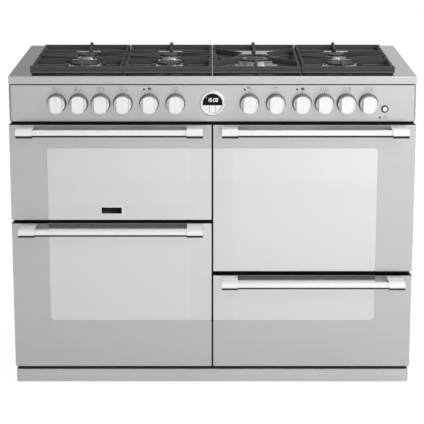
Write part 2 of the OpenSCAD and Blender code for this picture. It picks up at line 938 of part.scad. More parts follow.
module wire_shelf(c) {
    x = [c[0] + 6, c[1] - 6];
    y = [cavity_y + 34, cavity_back - 44];
    z = shelf_z(c);
    bars = 13;
    for (edge = y)
        rod_x(x, edge, z, wire_r);
    for (edge = x)
        rod_y(edge, y, z, wire_r);
    for (i = [1:bars])
        rod_y(x[0] + i * (x[1] - x[0]) / (bars + 1), y, z, 1.6);
}

module oven_shelves()
    color(chrome) at_trim()
        for (c = rack_cavities) {
            side_rack(c, -1);
            side_rack(c, 1);
            wire_shelf(c);
        }

// Element rod that runs to and fro; its bends are a little thicker than its runs
module looped_element(c, y, z, loops, r) {
    pitch = (c[1] - c[0] - 90) / (2 * loops - 1);
    x0 = c[0] + 45;
    front = y[0] + pitch / 2;
    for (i = [0:2 * loops - 1])
        rod_y(
            x0 + i * pitch,
            [front - 1, i == 0 || i == 2 * loops - 1 ? cavity_back : y[1] + 1],
            z,
            r
        );
    for (i = [0:2 * loops - 2])
        translate([x0 + (i + 0.5) * pitch, i % 2 == 0 ? front : y[1], z])
            rotate(i % 2 == 0 ? 180 : 0)
                rotate_extrude(angle = 180)
                    translate([pitch / 2, 0]) circle(r = r + 0.5);
}

// Ring elements round the fans, a looped grill element and a looped base element
module heating_elements()
    color(iron) at_trim() {
        looped_element(grill_cavity, [cavity_y + 40, cavity_back - 60], grill_cavity[3] - 16, 3, 4);
        looped_element(slow_cavity, [cavity_y + 40, cavity_back - 60], slow_cavity[2] + 12, 3, 4);
        for (c = fan_cavities)
            translate([fan_x(c), cavity_back - 10, fan_z(c)]) {
                rotate([90, 0, 0])
                    rotate_extrude()
                        translate([80, 0]) circle(r = 4);
                for (side = [-1, 1])
                    rod_y(side * 12, [0, 10], -79, 3.5);
            }
    }

// Dished and slotted plate in front of each fan
module fan_cover(c)
    translate([fan_x(c), 0, fan_z(c)]) {
        upright(cavity_back - fan_housing_d, 1.5)
            difference() {
                circle(r = fan_housing_r);
                for (ring = [1:3], i = [0:11])
                    rotate(i * 30 + ring * 10)
                        translate([14 + ring * 12, -2.5])
                            square([9, 5]);
            }
        upright(cavity_back - fan_housing_d, fan_housing_d)
            difference() {
                circle(r = fan_housing_r);
                circle(r = fan_housing_r - 1.5);
                for (i = [0:3])
                    rotate(i * 90 + 45)
                        translate([fan_housing_r - 5, -22])
                            square([10, 44]);
            }
    }

module fan_covers()
    color(enamel) at_trim()
        for (c = fan_cavities)
            fan_cover(c);

module fan_wheel(c)
    color(zinc) at_trim()
        translate([fan_x(c), cavity_back - 5, fan_z(c)])
            rotate([90, 0, 0]) {
                blades = 10;
                cylinder(h = 1.5, r = fan_r);
                cylinder(h = 12, r = 9);
                for (i = [0:blades - 1])
                    rotate(i * 360 / blades)
                        translate([8, -0.75, 0])
                            rotate([0, 0, 8])
                                cube([fan_r - 10, 1.5, 12]);
                translate([0, 0, -38]) cylinder(h = 39, r = shaft_r);
            }

module fan_motors()
    color(zinc) at_trim()
        for (c = fan_cavities)
            difference() {
                union() {
                    rod_y(fan_x(c), [cavity_back + liner_t, cavity_back + liner_t + 4], fan_z(c), motor_r + 14);
                    rod_y(fan_x(c), [cavity_back + liner_t, cavity_back + liner_t + motor_l], fan_z(c), motor_r);
                }
                rod_y(fan_x(c), [cavity_back, cavity_back + liner_t + 34], fan_z(c), shaft_r + 0.08);
            }

// Soft rope seal round each cavity's mouth, on the front frame
module door_seals()
    color(iron) at_trim()
        for (c = cavities)
            upright(frame_y - seal_t, seal_t)
                difference() {
                    inset_rect(c, -11, cavity_r + 11);
                    inset_rect(c, -4, cavity_r + 4);
                }

// ---- doors ----

module glass_field(grow)
    round_rect(
        [-glass_half_w - grow, glass_half_w + grow],
        [glass_bottom - grow, glass_top + grow],
        max(2, glass_corner_r + grow)
    );

module outer_pane(d, margin)
    intersection() {
        glass_field(-margin);
        inset_rect(d, margin * 0.5);
    }

// Side view of a door's folded edge; its lower back corner is round so that it
// clears the front frame as the door turns
module door_side_view(d, y0) {
    axis_z = d[2] + hinge_up;
    rect([y0, door_y + return_d], [axis_z, d[3]]);
    rect([y0, hinge_y], [d[2], axis_z + eps]);
    intersection() {
        translate([hinge_y, axis_z]) circle(r = hinge_clear_r);
        rect([hinge_y - eps, frame_y], [d[2], axis_z + eps]);
    }
}

module door_skin(d)
    color(steel) at_trim()
        difference() {
            union() {
                upright(door_y, skin_t)
                    inset_rect(d, 0);
                for (x = [d[0], d[1] - skin_t])
                    along_x(x, skin_t)
                        door_side_view(d, door_y);
                block([d[0], d[1]], [door_y, door_y + return_d], [d[3] - skin_t, d[3]]);
                block([d[0], d[1]], [door_y, hinge_y + 5], [d[2], d[2] + skin_t]);
                upright(door_y, glass_t + ledge_t)
                    intersection() {
                        glass_field(skin_t);
                        inset_rect(d, 0);
                    }
            }
            upright(door_y - 1, glass_t + 1)
                outer_pane(d, -0.01);
            upright(door_y - 1, glass_t + 6)
                outer_pane(d, pane_lip);
            for (x = [d[0] + hinge_inset, d[1] - hinge_inset])
                block([x - 9, x + 9], [hinge_y - 8, frame_y], [d[2] - 1, d[2] + pane_lip + 1]);
        }

// Window in the door's inner panel; it comes nearest the middle of the cooker
function window(d, c) = [
    c[0] + (c[0] < 0 ? 22 : 4),
    c[1] - (c[0] < 0 ? 4 : 22),
    d[2] + 46,
    d[3] - 66
];

module door_glass(d, c)
    color(glass_tint) at_trim() {
        upright(door_y, glass_t)
            outer_pane(d, 0.4);
        upright(inner_y - 1.5 - glass_t, glass_t)
            inset_rect(window(d, c), -12, 8);
    }

// Enamelled inner panel: pressed plate, its folded rim and the two hinge arms
module door_inner(d, c)
    color(enamel) at_trim() {
        m = skin_t + inner_gap;
        x = [d[0] + m, d[1] - m];
        z = [d[2] + hinge_up + 9, d[3] - m];
        w = window(d, c);
        upright(inner_y - 1.5, 1.5)
            difference() {
                round_rect(x, z, 4);
                inset_rect(w, 0, 8);
            }
        upright(door_y + glass_t + ledge_t, inner_y - door_y - glass_t - ledge_t)
            difference() {
                round_rect(x, z, 4);
                round_rect([x[0] + 1.2, x[1] - 1.2], [z[0] + 1.2, z[1] - 1.2], 3);
            }
        for (hx = [d[0] + hinge_inset, d[1] - hinge_inset])
            along_x(hx - arm_t / 2, arm_t)
                difference() {
                    union() {
                        translate([hinge_y, d[2] + hinge_up]) circle(r = 7);
                        rect([hinge_y - 7, hinge_y + 7], [d[2] + hinge_up, z[0] + 4]);
                        rect([hinge_y - 7, inner_y - 0.5], [z[0] + 0.5, z[0] + 4]);
                    }
                    translate([hinge_y, d[2] + hinge_up]) circle(r = pin_r + pin_gap);
                }
    }

// Round bar between two sleeves that stand off the door on broad feet
module door_handle(d)
    color(chrome) at_trim() {
        z = d[3] - handle_drop;
        ends = [d[0] + handle_inset, d[1] - handle_inset];
        rod_x([ends[0] + 4, ends[1] - 4], handle_y, z, bar_dia / 2);
        for (x0 = [ends[0], ends[1] - sleeve_l]) {
            rod_x([x0, x0 + sleeve_l], handle_y, z, sleeve_dia / 2);
            block([x0, x0 + sleeve_l], [handle_y, door_y], [z - 8, z + 8]);
        }
    }

module skin_grill_door() door_skin(grill_door);
module skin_main_door() door_skin(main_door);
module skin_tall_door() door_skin(tall_door);
module skin_slow_door() door_skin(slow_door);
module glass_grill_door() door_glass(grill_door, grill_cavity);
module glass_main_door() door_glass(main_door, main_cavity);
module glass_tall_door() door_glass(tall_door, tall_cavity);
module glass_slow_door() door_glass(slow_door, slow_cavity);
module inner_grill_door() door_inner(grill_door, grill_cavity);
module inner_main_door() door_inner(main_door, main_cavity);
module inner_tall_door() door_inner(tall_door, tall_cavity);
module inner_slow_door() door_inner(slow_door, slow_cavity);

// ---- assembly ----

chassis();
side_panels();
rear_panel();
plinth();
levelling_feet();
hob_top();
control_panel();
liner_grill_oven();
liner_main_oven();
liner_tall_oven();
liner_slow_oven();
gas_train();
timer_and_switch_bodies();
burner_heads();
burner_caps();
timer_bezel();
fan_covers();
fan_motors();
heating_elements();
oven_shelves();
grill_pan();
door_seals();
skin_grill_door();
skin_main_door();
skin_tall_door();
skin_slow_door();
glass_grill_door();
glass_main_door();
glass_tall_door();
glass_slow_door();
inner_grill_door();
inner_main_door();
inner_tall_door();
inner_slow_door();
door_handle(grill_door);  // handle_grill_door
door_handle(main_door);  // handle_main_door
door_handle(tall_door);  // handle_tall_door
door_handle(slow_door);  // handle_slow_door
double_support(-support_half_w, -support_joint_x, [burners[0], burners[1]]);  // support_left
double_support(-support_joint_x, 0, [burners[2], burners[3]]);  // support_inner_left
wok_support();  // support_wok
double_support(support_joint_x, support_half_w, [burners[4], burners[5]]);  // support_right
knob(gas_knob_x[0]);  // gas_knob_1
knob(gas_knob_x[1]);  // gas_knob_2
knob(gas_knob_x[2]);  // gas_knob_3
knob(gas_knob_x[3]);  // gas_knob_4
knob(gas_knob_x[4]);  // gas_knob_5
knob(gas_knob_x[5]);  // gas_knob_6
knob(gas_knob_x[6]);  // gas_knob_7
knob(oven_knob_x[0]);  // oven_knob_1
knob(oven_knob_x[1]);  // oven_knob_2
knob(oven_knob_x[2]);  // oven_knob_3
knob(oven_knob_x[3]);  // oven_knob_4
knob(oven_knob_x[4]);  // oven_knob_5
timer_button(timer_columns[0]);  // timer_button_left
timer_button(timer_columns[1]);  // timer_button_middle
timer_button(timer_columns[2]);  // timer_button_right
ignition_button();
fan_wheel(main_cavity);  // fan_main_oven
fan_wheel(tall_cavity);  // fan_tall_oven
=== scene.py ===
"""Looks of a freestanding range cooker: finishes for its parts and the small pieces on them.

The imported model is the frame. Each class is one sub-assembly: its fields are sizes in metres,
and its methods make its pieces and dress its parts. Depth is measured back from the hob's front.
"""

import functools
import logging
import math
from dataclasses import dataclass, field
from enum import Enum

import bmesh
import bpy
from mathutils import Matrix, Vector

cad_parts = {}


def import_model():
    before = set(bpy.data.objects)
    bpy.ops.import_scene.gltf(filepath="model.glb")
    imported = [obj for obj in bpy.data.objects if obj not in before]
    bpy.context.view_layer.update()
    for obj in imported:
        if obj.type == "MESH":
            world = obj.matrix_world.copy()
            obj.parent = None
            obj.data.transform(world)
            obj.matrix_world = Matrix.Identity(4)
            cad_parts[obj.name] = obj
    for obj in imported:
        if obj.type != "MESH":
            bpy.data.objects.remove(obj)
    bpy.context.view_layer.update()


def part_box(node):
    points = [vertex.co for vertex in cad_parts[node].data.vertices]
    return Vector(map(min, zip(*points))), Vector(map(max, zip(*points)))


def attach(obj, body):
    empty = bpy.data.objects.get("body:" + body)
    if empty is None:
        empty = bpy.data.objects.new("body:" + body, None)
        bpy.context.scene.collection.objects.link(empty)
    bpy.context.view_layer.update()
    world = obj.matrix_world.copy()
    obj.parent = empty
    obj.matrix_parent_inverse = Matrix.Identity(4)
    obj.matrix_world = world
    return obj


log = logging.getLogger("cooker")

Colour = tuple[float, float, float]
Point = tuple[float, float, float]
Span = tuple[float, float]
Four = tuple[float, float, float, float]
Socket = bpy.types.NodeSocket
Piece = bpy.types.Object

HOB_FRONT = -0.264125
PANEL_FRONT = HOB_FRONT
DOOR_FRONT = HOB_FRONT - 0.015
KNOB_ROW = 0.8017

WHITE = (1.0, 1.0, 1.0, 1.0)
STOOD_UP = (math.pi / 2, 0.0, 0.0)
SHARP_EDGE = math.radians(30.0)
SMOOTH_BELOW = math.radians(35.0)
LOOKS_THAT_WAY = 0.9
RING_DOTS = 16
DOT_SIDES = 14


class Way(Enum):
    """A way that a face looks."""

    FRONT = (0.0, -1.0, 0.0)
    BACK = (0.0, 1.0, 0.0)
    UP = (0.0, 0.0, 1.0)
    DOWN = (0.0, 0.0, -1.0)


class Mark(Enum):
    """The shape of one printed mark."""

    BAR = "bar"
    DOT = "dot"


class Tree:
    """The shader nodes of a material or a world, with short moves to add and join them."""

    def __init__(self, owner: bpy.types.Material | bpy.types.World, space: str) -> None:
        """Opens the nodes.

        Args:
            owner: The material or world.
            space: The coordinates that give each place.
        """
        owner.use_nodes = True
        self.nodes = owner.node_tree.nodes
        self.links = owner.node_tree.links
        self.end = self.nodes[f"{type(owner).__name__} Output"]
        self.here = self.node("TexCoord")
        self.place = self.here.outputs[space]

    def node(self, kind: str, **values: object) -> bpy.types.Node:
        """Adds a node and sets its inputs.

        Args:
            kind: Its type, without ShaderNode.
            values: Its inputs by name, with _ for a space.

        Returns:
            The node.
        """
        made = self.nodes.new(f"ShaderNode{kind}")
        for name, value in values.items():
            made.inputs[name.replace("_", " ")].default_value = value
        return made

    def split(self, axis: int) -> Socket:
        """Gives the place along one axis."""
        made = self.node("SeparateXYZ")
        self.links.new(self.place, made.inputs[0])
        return made.outputs[axis]

    def range(self, source: Socket, old: Span, new: Span = (0.0, 1.0)) -> Socket:
        """Stretches a factor from one range to another, held at its ends."""
        made = self.node("MapRange", From_Min=old[0], From_Max=old[1], To_Min=new[0],
                         To_Max=new[1])
        self.links.new(source, made.inputs["Value"])
        return made.outputs["Result"]

    def step(self, source: Socket, at: float, soft: float, ends: Span = (0.0, 1.0)) -> Socket:
        """Goes from one end to the other where a factor passes a value, with a soft edge."""
        return self.range(source, (at - soft, at + soft), ends)

    def mix(self, factor: Socket, first: Socket, second: Socket) -> None:
        """Sends two shaders to the output, mixed by a factor."""
        made = self.node("MixShader")
        for place, source in enumerate((factor, first, second)):
            self.links.new(source, made.inputs[place])
        self.show(made.outputs[0])

    def show(self, shader: Socket) -> None:
        """Sends a shader to the output."""
        self.links.new(shader, self.end.inputs["Surface"])


class Sheet(Tree):
    """One material's shader, with the node moves that the finishes share."""

    def __init__(self, name: str) -> None:
        """Starts a material.

        Args:
            name: The material's name.
        """
        self.material = bpy.data.materials.new(name)
        super().__init__(self.material, "Object")
        self.shader = self.nodes["Principled BSDF"]

    def put(self, **values: object) -> None:
        """Sets sockets of the shader by name, with _ for a space."""
        for name, value in values.items():
            self.shader.inputs[name.replace("_", " ")].default_value = value

    def wire(self, source: Socket, name: str) -> None:
        """Links a socket to one of the shader's by name."""
        self.links.new(source, self.shader.inputs[name])

    def cover(self, colour: Socket, rough: Socket) -> None:
        """Links the colour and the roughness to the shader."""
        self.wire(colour, "Base Color")
        self.wire(rough, "Roughness")

    def spread(self, scale: Point | float) -> Socket:
        """Gives the place on the piece, scaled along each axis, or along all of them alike."""
        grow = self.node("VectorMath")
        grow.operation = "MULTIPLY"
        grow.inputs[1].default_value = (scale,) * 3 if isinstance(scale, float) else scale
        self.links.new(self.place, grow.inputs[0])
        return grow.outputs[0]

    def noise(self, scale: Point | float, detail: float = 2.0, rough: float = 0.5) -> Socket:
        """Gives a cloudy factor, from 0 to 1.

        Args:
            scale: Patches per metre along each axis, or along all of them alike.
            detail: Octaves of finer patches.
            rough: How strong the finer ones are.

        Returns:
            The factor socket.
        """
        made = self.node("TexNoise", Scale=1.0, Detail=detail, Roughness=rough)
        self.links.new(self.spread(scale), made.inputs["Vector"])
        return made.outputs["Fac"]

    def cells(self, scale: float) -> Socket:
        """Gives one random factor for each cell of a crystal pattern."""
        made = self.node("TexVoronoi", Scale=1.0)
        self.links.new(self.spread(scale), made.inputs["Vector"])
        split = self.node("SeparateColor")
        self.links.new(made.outputs["Color"], split.inputs[0])
        return split.outputs[0]

    def math(self, move: str, first: Socket, second: Socket | float) -> Socket:
        """Joins two factors by one sum."""
        made = self.node("Math")
        made.operation = move
        self.links.new(first, made.inputs[0])
        if isinstance(second, float):
            made.inputs[1].default_value = second
        else:
            self.links.new(second, made.inputs[1])
        return made.outputs[0]

    def blend(self, factor: Socket, low: Socket | Colour, high: Socket | Colour) -> Socket:
        """Goes from one colour to another by a factor."""
        made = self.node("Mix")
        made.data_type = "RGBA"
        self.links.new(factor, made.inputs[0])
        for socket, value in ((made.inputs[6], low), (made.inputs[7], high)):
            if isinstance(value, tuple):
                socket.default_value = (*value, 1.0)
            else:
                self.links.new(value, socket)
        return made.outputs[2]

    def facing(self, way: Point) -> Socket:
        """Gives how squarely the surface looks one way, from -1 to 1."""
        made = self.node("VectorMath")
        made.operation = "DOT_PRODUCT"
        made.inputs[1].default_value = Vector(way).normalized()
        self.links.new(self.here.outputs["Normal"], made.inputs[0])
        return made.outputs["Value"]

    def bump(self, height: Socket, depth: float, strength: float) -> None:
        """Raises the surface by a factor, over a depth, with a part of its slope."""
        made = self.node("Bump", Distance=depth, Strength=strength)
        self.links.new(height, made.inputs["Height"])
        self.wire(made.outputs["Normal"], "Normal")


@dataclass(frozen=True)
class Finish:
    """A surface finish. Each kind draws its own pattern about one colour and roughness."""

    name: str
    colour: Colour
    roughness: float

    def material(self) -> bpy.types.Material:
        """Returns the finish's material, made at its first use."""
        label = f"{self.name}_finish"
        found = bpy.data.materials.get(label)
        if found:
            return found
        sheet = Sheet(label)
        self.draw(sheet)
        return sheet.material

    def draw(self, sheet: Sheet) -> None:
        """Fills a sheet with this finish."""
        raise NotImplementedError

    def tone(self, times: float) -> Colour:
        """Returns the colour, made lighter or darker."""
        return tuple(min(1.0, part * times) for part in self.colour)

    def vary(self, sheet: Sheet, factor: Socket, low: float, high: float = 1.0) -> Socket:
        """Returns the colour, going from one tone to another by a factor."""
        return sheet.blend(factor, self.tone(low), self.tone(high))

    def rough(self, sheet: Sheet, factor: Socket, old: Span, change: Span) -> Socket:
        """Returns the roughness, with a change at each end of a factor's range."""
        return sheet.range(factor, old, tuple(self.roughness + part for part in change))


@dataclass(frozen=True)
class BrushedSteel(Finish):
    """Stainless sheet with fine straight brushing and faint hand marks.

    Its upward faces, such as the top edge of a door, may be darkened: a painted shade for the dark
    gap between the door and the panel. A margin along the front may be matt.
    """

    grain: Point = (5.0, 700.0, 700.0)
    broader: float = 12.0
    # Tone of the painted shade on upward faces; 1.0 paints none.
    top: float = 1.0
    matt_before: float | None = None
    matt_more: float = 0.24

    def draw(self, sheet: Sheet) -> None:
        """Fills a sheet with brushed steel."""
        fine = sheet.noise(self.grain, 3.0, 0.6)
        broad = sheet.noise(tuple(part / self.broader for part in self.grain))
        hands = sheet.noise(9.0, 3.0, 0.55)
        streak = self.vary(sheet, fine, 0.93, 1.07)
        sheet.put(Metallic=1.0)
        skin = sheet.blend(sheet.range(broad, (0.3, 0.7), (0.0, 0.35)), streak, self.tone(1.06))
        # Painted shade: faces that look up take the dark top tone.
        if self.top < 1.0:
            up = sheet.range(sheet.facing(Way.UP.value), (0.6, 0.8))
            skin = sheet.blend(up, skin, self.tone(self.top))
        worn = sheet.range(hands, (0.35, 0.75), (-0.03, 0.05))
        rough = sheet.math("ADD", self.rough(sheet, fine, (0.2, 0.8), (-0.04, 0.05)), worn)
        if self.matt_before is not None:
            matt = sheet.step(sheet.split(1), self.matt_before, 0.006, (self.matt_more, 0.0))
            rough = sheet.math("ADD", rough, matt)
        sheet.cover(skin, rough)
        sheet.bump(fine, 0.00003, 0.35)


@dataclass(frozen=True)
class Chrome(Finish):
    """Plated metal, polished along its length, with hairline wear.

    On a bar, the faces turned away from one way may be painted dark: a painted shade and painted
    reflection, for the dark underside and back of a handle.
    """

    bright_way: Point | None = None
    metallic: float = 1.0
    dull: float = 0.03

    def draw(self, sheet: Sheet) -> None:
        """Fills a sheet with chrome."""
        hair = sheet.noise((12.0, 900.0, 900.0))
        smear = sheet.noise(30.0, 3.0)
        sheet.put(Metallic=self.metallic)
        skin = self.vary(sheet, sheet.range(smear, (0.3, 0.7)), 0.97)
        # Painted shade and reflection: faces turned away from the unshaded way take the dark dull
        # tone.
        if self.bright_way:
            bright = sheet.range(sheet.facing(self.bright_way), (0.45, 0.58))
            skin = sheet.blend(bright, self.tone(self.dull), skin)
        sheet.cover(skin, self.rough(sheet, hair, (0.3, 0.8), (0.0, 0.06)))
        sheet.bump(hair, 0.000008, 0.3)


@dataclass(frozen=True)
class TurnedMetal(Finish):
    """Satin plated metal with a fine, even grain and rubbed spots; its side walls and the skirt by
    the panel are painted dark, a painted shade.
    """

    metallic: float
    # Colour of the painted shade on the side walls and the skirt.
    side: Colour = (0.16, 0.16, 0.16)
    skirt_edge: float = HOB_FRONT - 0.0085

    def draw(self, sheet: Sheet) -> None:
        """Fills a sheet with turned metal."""
        grain = sheet.noise(1400.0)
        rubbed = sheet.noise(60.0, 3.0)
        sheet.put(Metallic=self.metallic)
        face = self.vary(sheet, sheet.range(rubbed, (0.35, 0.7)), 0.95)
        # Painted shade: faces that don't look to the front, and everything behind the shade edge,
        # take the side colour.
        before = sheet.step(sheet.split(1), self.skirt_edge, 0.0006, (1.0, 0.0))
        flat = sheet.range(sheet.facing(Way.FRONT.value), (0.35, 0.75))
        front = sheet.math("MULTIPLY", flat, before)
        sheet.cover(sheet.blend(front, self.side, face),
                    self.rough(sheet, rubbed, (0.3, 0.75), (0.05, -0.04)))
        sheet.bump(grain, 0.00001, 0.25)


@dataclass(frozen=True)
class Zinc(Finish):
    """Galvanised sheet with its spangle and dull patches."""

    def draw(self, sheet: Sheet) -> None:
        """Fills a sheet with galvanised steel."""
        crystal = sheet.cells(70.0)
        dull = sheet.noise(6.0, 4.0)
        sheet.put(Metallic=0.85)
        spangle = self.vary(sheet, crystal, 0.84, 1.08)
        patch = sheet.range(dull, (0.45, 0.75), (0.0, 0.5))
        sheet.cover(sheet.blend(patch, spangle, self.tone(0.8)),
                    self.rough(sheet, crystal, (0.0, 1.0), (-0.08, 0.1)))
        sheet.bump(sheet.noise(400.0), 0.00002, 0.3)


@dataclass(frozen=True)
class Paint(Finish):
    """Stoved paint with a slight orange peel, or enamel with a fine fleck."""

    peel: float
    fleck: Colour | None = None
    coat: float = 0.0

    def draw(self, sheet: Sheet) -> None:
        """Fills a sheet with paint or enamel."""
        dust = sheet.noise(14.0, 4.0)
        skin = self.vary(sheet, dust, 0.88, 1.12)
        if self.fleck:
            grit = sheet.noise(1500.0, 1.0)
            skin = sheet.blend(sheet.range(grit, (0.68, 0.72)), skin, self.fleck)
        sheet.cover(skin, self.rough(sheet, dust, (0.3, 0.75), (-0.04, 0.09)))
        sheet.put(Coat_Weight=self.coat, Coat_Roughness=0.08)
        sheet.bump(sheet.noise(self.peel), 0.00004, 0.3)


@dataclass(frozen=True)
class CastIron(Finish):
    """Matt enamelled casting with a sandy skin and edges rubbed a little paler.

    The ledge at the foot of each bar is painted pale, a painted highlight, with a painted shade
    line over it.
    """

    ledge_top: float = 0.885
    ledge_soft: float = 0.0002
    # Height of the painted shade line over the ledge.
    soot: float = 0.0018

    def draw(self, sheet: Sheet) -> None:
        """Fills a sheet with cast iron."""
        sand = sheet.noise(900.0, 3.0, 0.6)
        lumps = sheet.noise(120.0, 3.0)
        rubbed = sheet.noise(25.0, 4.0, 0.6)
        skin = self.vary(sheet, sheet.range(sand, (0.3, 0.6)), 0.7)
        skin = sheet.blend(sheet.range(rubbed, (0.55, 0.8), (0.0, 0.6)), skin, self.tone(1.5))
        # Painted highlight under the ledge top, with a painted shade line just over it.
        height, top = sheet.split(2), self.ledge_top
        over = sheet.range(height, (top, top + self.ledge_soft))
        above_shade_line = sheet.range(height, (top + self.soot, top + 1.5 * self.soot))
        skin = sheet.blend(above_shade_line, self.tone(0.3), skin)
        sheet.cover(sheet.blend(over, self.tone(1.9), skin),
                    self.rough(sheet, rubbed, (0.3, 0.8), (0.05, -0.1)))
        sheet.bump(sheet.math("ADD", sand, lumps), 0.00025, 0.5)


@dataclass(frozen=True)
class HeatedMetal(Finish):
    """Bare metal that has been hot: straw-coloured patches over its own tone."""

    metallic: float
    straw: Colour
    tint: float

    def draw(self, sheet: Sheet) -> None:
        """Fills a sheet with heated metal."""
        heat = sheet.noise(35.0, 4.0, 0.55)
        blast = sheet.noise(1100.0)
        sheet.put(Metallic=self.metallic)
        warm = sheet.range(heat, (0.45, 0.75), (0.0, self.tint))
        bare = self.vary(sheet, blast, 0.9, 1.08)
        sheet.cover(sheet.blend(warm, bare, self.straw),
                    self.rough(sheet, heat, (0.3, 0.75), (-0.05, 0.1)))
        sheet.bump(blast, 0.00003, 0.4)


@dataclass(frozen=True)
class CoatedGlass(Finish):
    """Toughened glass with a silvery green-grey coat behind it and a paler window in the coat."""

    window: Four
    lift: float = 1.035
    soft: float = 0.002

    def draw(self, sheet: Sheet) -> None:
        """Fills a sheet with coated glass."""
        haze = sheet.noise(4.0, 3.0)
        streak = sheet.noise((60.0, 60.0, 6.0))
        coat = self.vary(sheet, haze, 0.985, 1.015)
        sheet.put(Metallic=0.9, IOR=1.52, Coat_Weight=1.0, Coat_Roughness=0.03)
        sheet.cover(sheet.blend(self.mask(sheet), coat, self.tone(self.lift)),
                    self.rough(sheet, streak, (0.3, 0.7), (0.0, 0.04)))

    def mask(self, sheet: Sheet) -> Socket:
        """Returns 1 inside the window and 0 outside, with a soft edge."""
        sides = []
        for axis, (low, high) in ((0, self.window[:2]), (2, self.window[2:])):
            place = sheet.split(axis)
            sides.append(sheet.step(place, low, self.soft))
            sides.append(sheet.step(place, high, self.soft, (1.0, 0.0)))
        return functools.reduce(functools.partial(sheet.math, "MULTIPLY"), sides)


@dataclass(frozen=True)
class Rope(Finish):
    """Woven glass-fibre rope."""

    def draw(self, sheet: Sheet) -> None:
        """Fills a sheet with rope."""
        weave = sheet.node("TexWave", Scale=260.0, Distortion=1.5)
        weave.bands_direction = "DIAGONAL"
        sheet.links.new(sheet.place, weave.inputs["Vector"])
        yarn = self.vary(sheet, weave.outputs["Fac"], 0.6)
        fuzz = sheet.noise(800.0, 3.0)
        sheet.wire(sheet.blend(fuzz, yarn, self.tone(1.3)), "Base Color")
        sheet.put(Roughness=self.roughness, Sheen_Weight=0.3)
        sheet.bump(weave.outputs["Fac"], 0.0006, 0.8)


@dataclass(frozen=True)
class Moulded(Finish):
    """Moulded plastic, ink or ceramic with a fine grain and slight gloss changes."""

    grain: float = 1300.0
    shine: float = 0.5

    def draw(self, sheet: Sheet) -> None:
        """Fills a sheet with moulded plastic."""
        smear = sheet.noise(45.0, 3.0)
        sheet.cover(self.vary(sheet, smear, 0.96, 1.03),
                    self.rough(sheet, smear, (0.3, 0.75), (-0.05, 0.07)))
        sheet.put(Specular_IOR_Level=self.shine)
        sheet.bump(sheet.noise(self.grain), 0.00003, 0.3)


@dataclass(frozen=True)
class Lit(Finish):
    """A lit sign: a pale glow with a little unevenness."""

    glow: float = 0.9

    def draw(self, sheet: Sheet) -> None:
        """Fills a sheet with light."""
        light = self.vary(sheet, sheet.noise(400.0, 1.0), 0.9)
        sheet.wire(light, "Base Color")
        sheet.wire(light, "Emission Color")
        sheet.put(Emission_Strength=self.glow, Roughness=self.roughness)


FRONT_STEEL = BrushedSteel("front_steel", (0.67, 0.67, 0.67), 0.34)
# The door steel paints its top edge nearly black: a painted shade for the gap under the panel.
DOOR_STEEL_SHADED_TOP = BrushedSteel("door_steel_shaded_top", (0.66, 0.66, 0.66), 0.34, top=0.04)
HOB_STEEL = BrushedSteel("hob_steel", (0.68, 0.68, 0.68), 0.1, matt_before=HOB_FRONT + 0.017)
# The plinth steel is a lighter copy of the front steel: painted light against the shade in the
# plinth's recess.
PLINTH_STEEL_PAINTED_LIGHTER = BrushedSteel("plinth_steel_painted_lighter", (0.76, 0.76, 0.76), 0.36)
SIDE_PAINT = Paint("side_paint", (0.11, 0.112, 0.115), 0.42, 900.0)
SCREW_ZINC = Chrome("screw_zinc", (0.62, 0.62, 0.6), 0.3)
BACK_ZINC = Zinc("back_zinc", (0.50, 0.52, 0.54), 0.42)
FRAME_STEEL = Paint("frame_enamel", (0.018, 0.018, 0.02), 0.42, 300.0)
OVEN_ENAMEL = Paint("oven_enamel", (0.012, 0.012, 0.014), 0.2, 240.0, (0.16, 0.17, 0.18), 0.4)
# The handle chrome paints its underside and back dark: a painted shade and painted reflection.
HANDLE_CHROME_PAINTED_SHADE = Chrome("handle_chrome_painted_shade", (0.97, 0.97, 0.97), 0.16, (0.0, -0.75, 0.66), 0.25)
PIN_CHROME = Chrome("pin_chrome", (0.85, 0.85, 0.85), 0.14)
BEZEL_CHROME = Chrome("bezel_chrome", (0.97, 0.97, 0.97), 0.12, metallic=0.55)
WIRE_CHROME = Chrome("wire_chrome", (0.72, 0.72, 0.73), 0.2)
# The knob metal paints the knobs' side walls and skirts dark: a painted shade.
KNOB_METAL_PAINTED_SHADE = TurnedMetal("knob_metal", (0.97, 0.97, 0.965), 0.3, 0.2)
# The pan support iron paints a pale ledge with a dark line over it: painted highlight and painted
# shade.
IRON = CastIron("pan_support_iron", (0.05, 0.05, 0.052), 0.6)
# Near-black finish of the strips that stand in for the shadow under the front bars: painted shade.
SHADE_STRIP_IRON = Paint("shade_strip_iron", (0.008, 0.008, 0.008), 0.7, 500.0)
CROWN_ALLOY = HeatedMetal("crown_alloy", (0.86, 0.86, 0.85), 0.24, 0.8, (0.6, 0.54, 0.46), 0.12)
CAP_ENAMEL = Paint("cap_enamel", (0.022, 0.022, 0.023), 0.42, 500.0)
ELEMENT_STEEL = HeatedMetal(
    "element_steel", (0.16, 0.15, 0.15), 0.48, 0.7, (0.16, 0.12, 0.1), 0.6)
GAS_BRASS = HeatedMetal("gas_brass", (0.56, 0.42, 0.2), 0.34, 1.0, (0.36, 0.24, 0.12), 0.5)
SEAL_ROPE = Rope("seal_rope", (0.09, 0.09, 0.085), 0.9)
BLACK_PLASTIC = Moulded("black_plastic", (0.006, 0.006, 0.006), 0.5, shine=0.12)
WHITE_PLASTIC = Moulded("white_plastic", (0.94, 0.94, 0.93), 0.32)
PRINT_INK = Moulded("print_ink", (0.10, 0.10, 0.10), 0.55, 2500.0)
INDEX_GREY = Moulded("index_grey", (0.5, 0.5, 0.5), 0.5, 2500.0)
CERAMIC = Moulded("white_ceramic", (0.78, 0.76, 0.72), 0.35)
LAMP_BLACK = Moulded("lamp_lens", (0.008, 0.008, 0.009), 0.2, 300.0, 0.15)
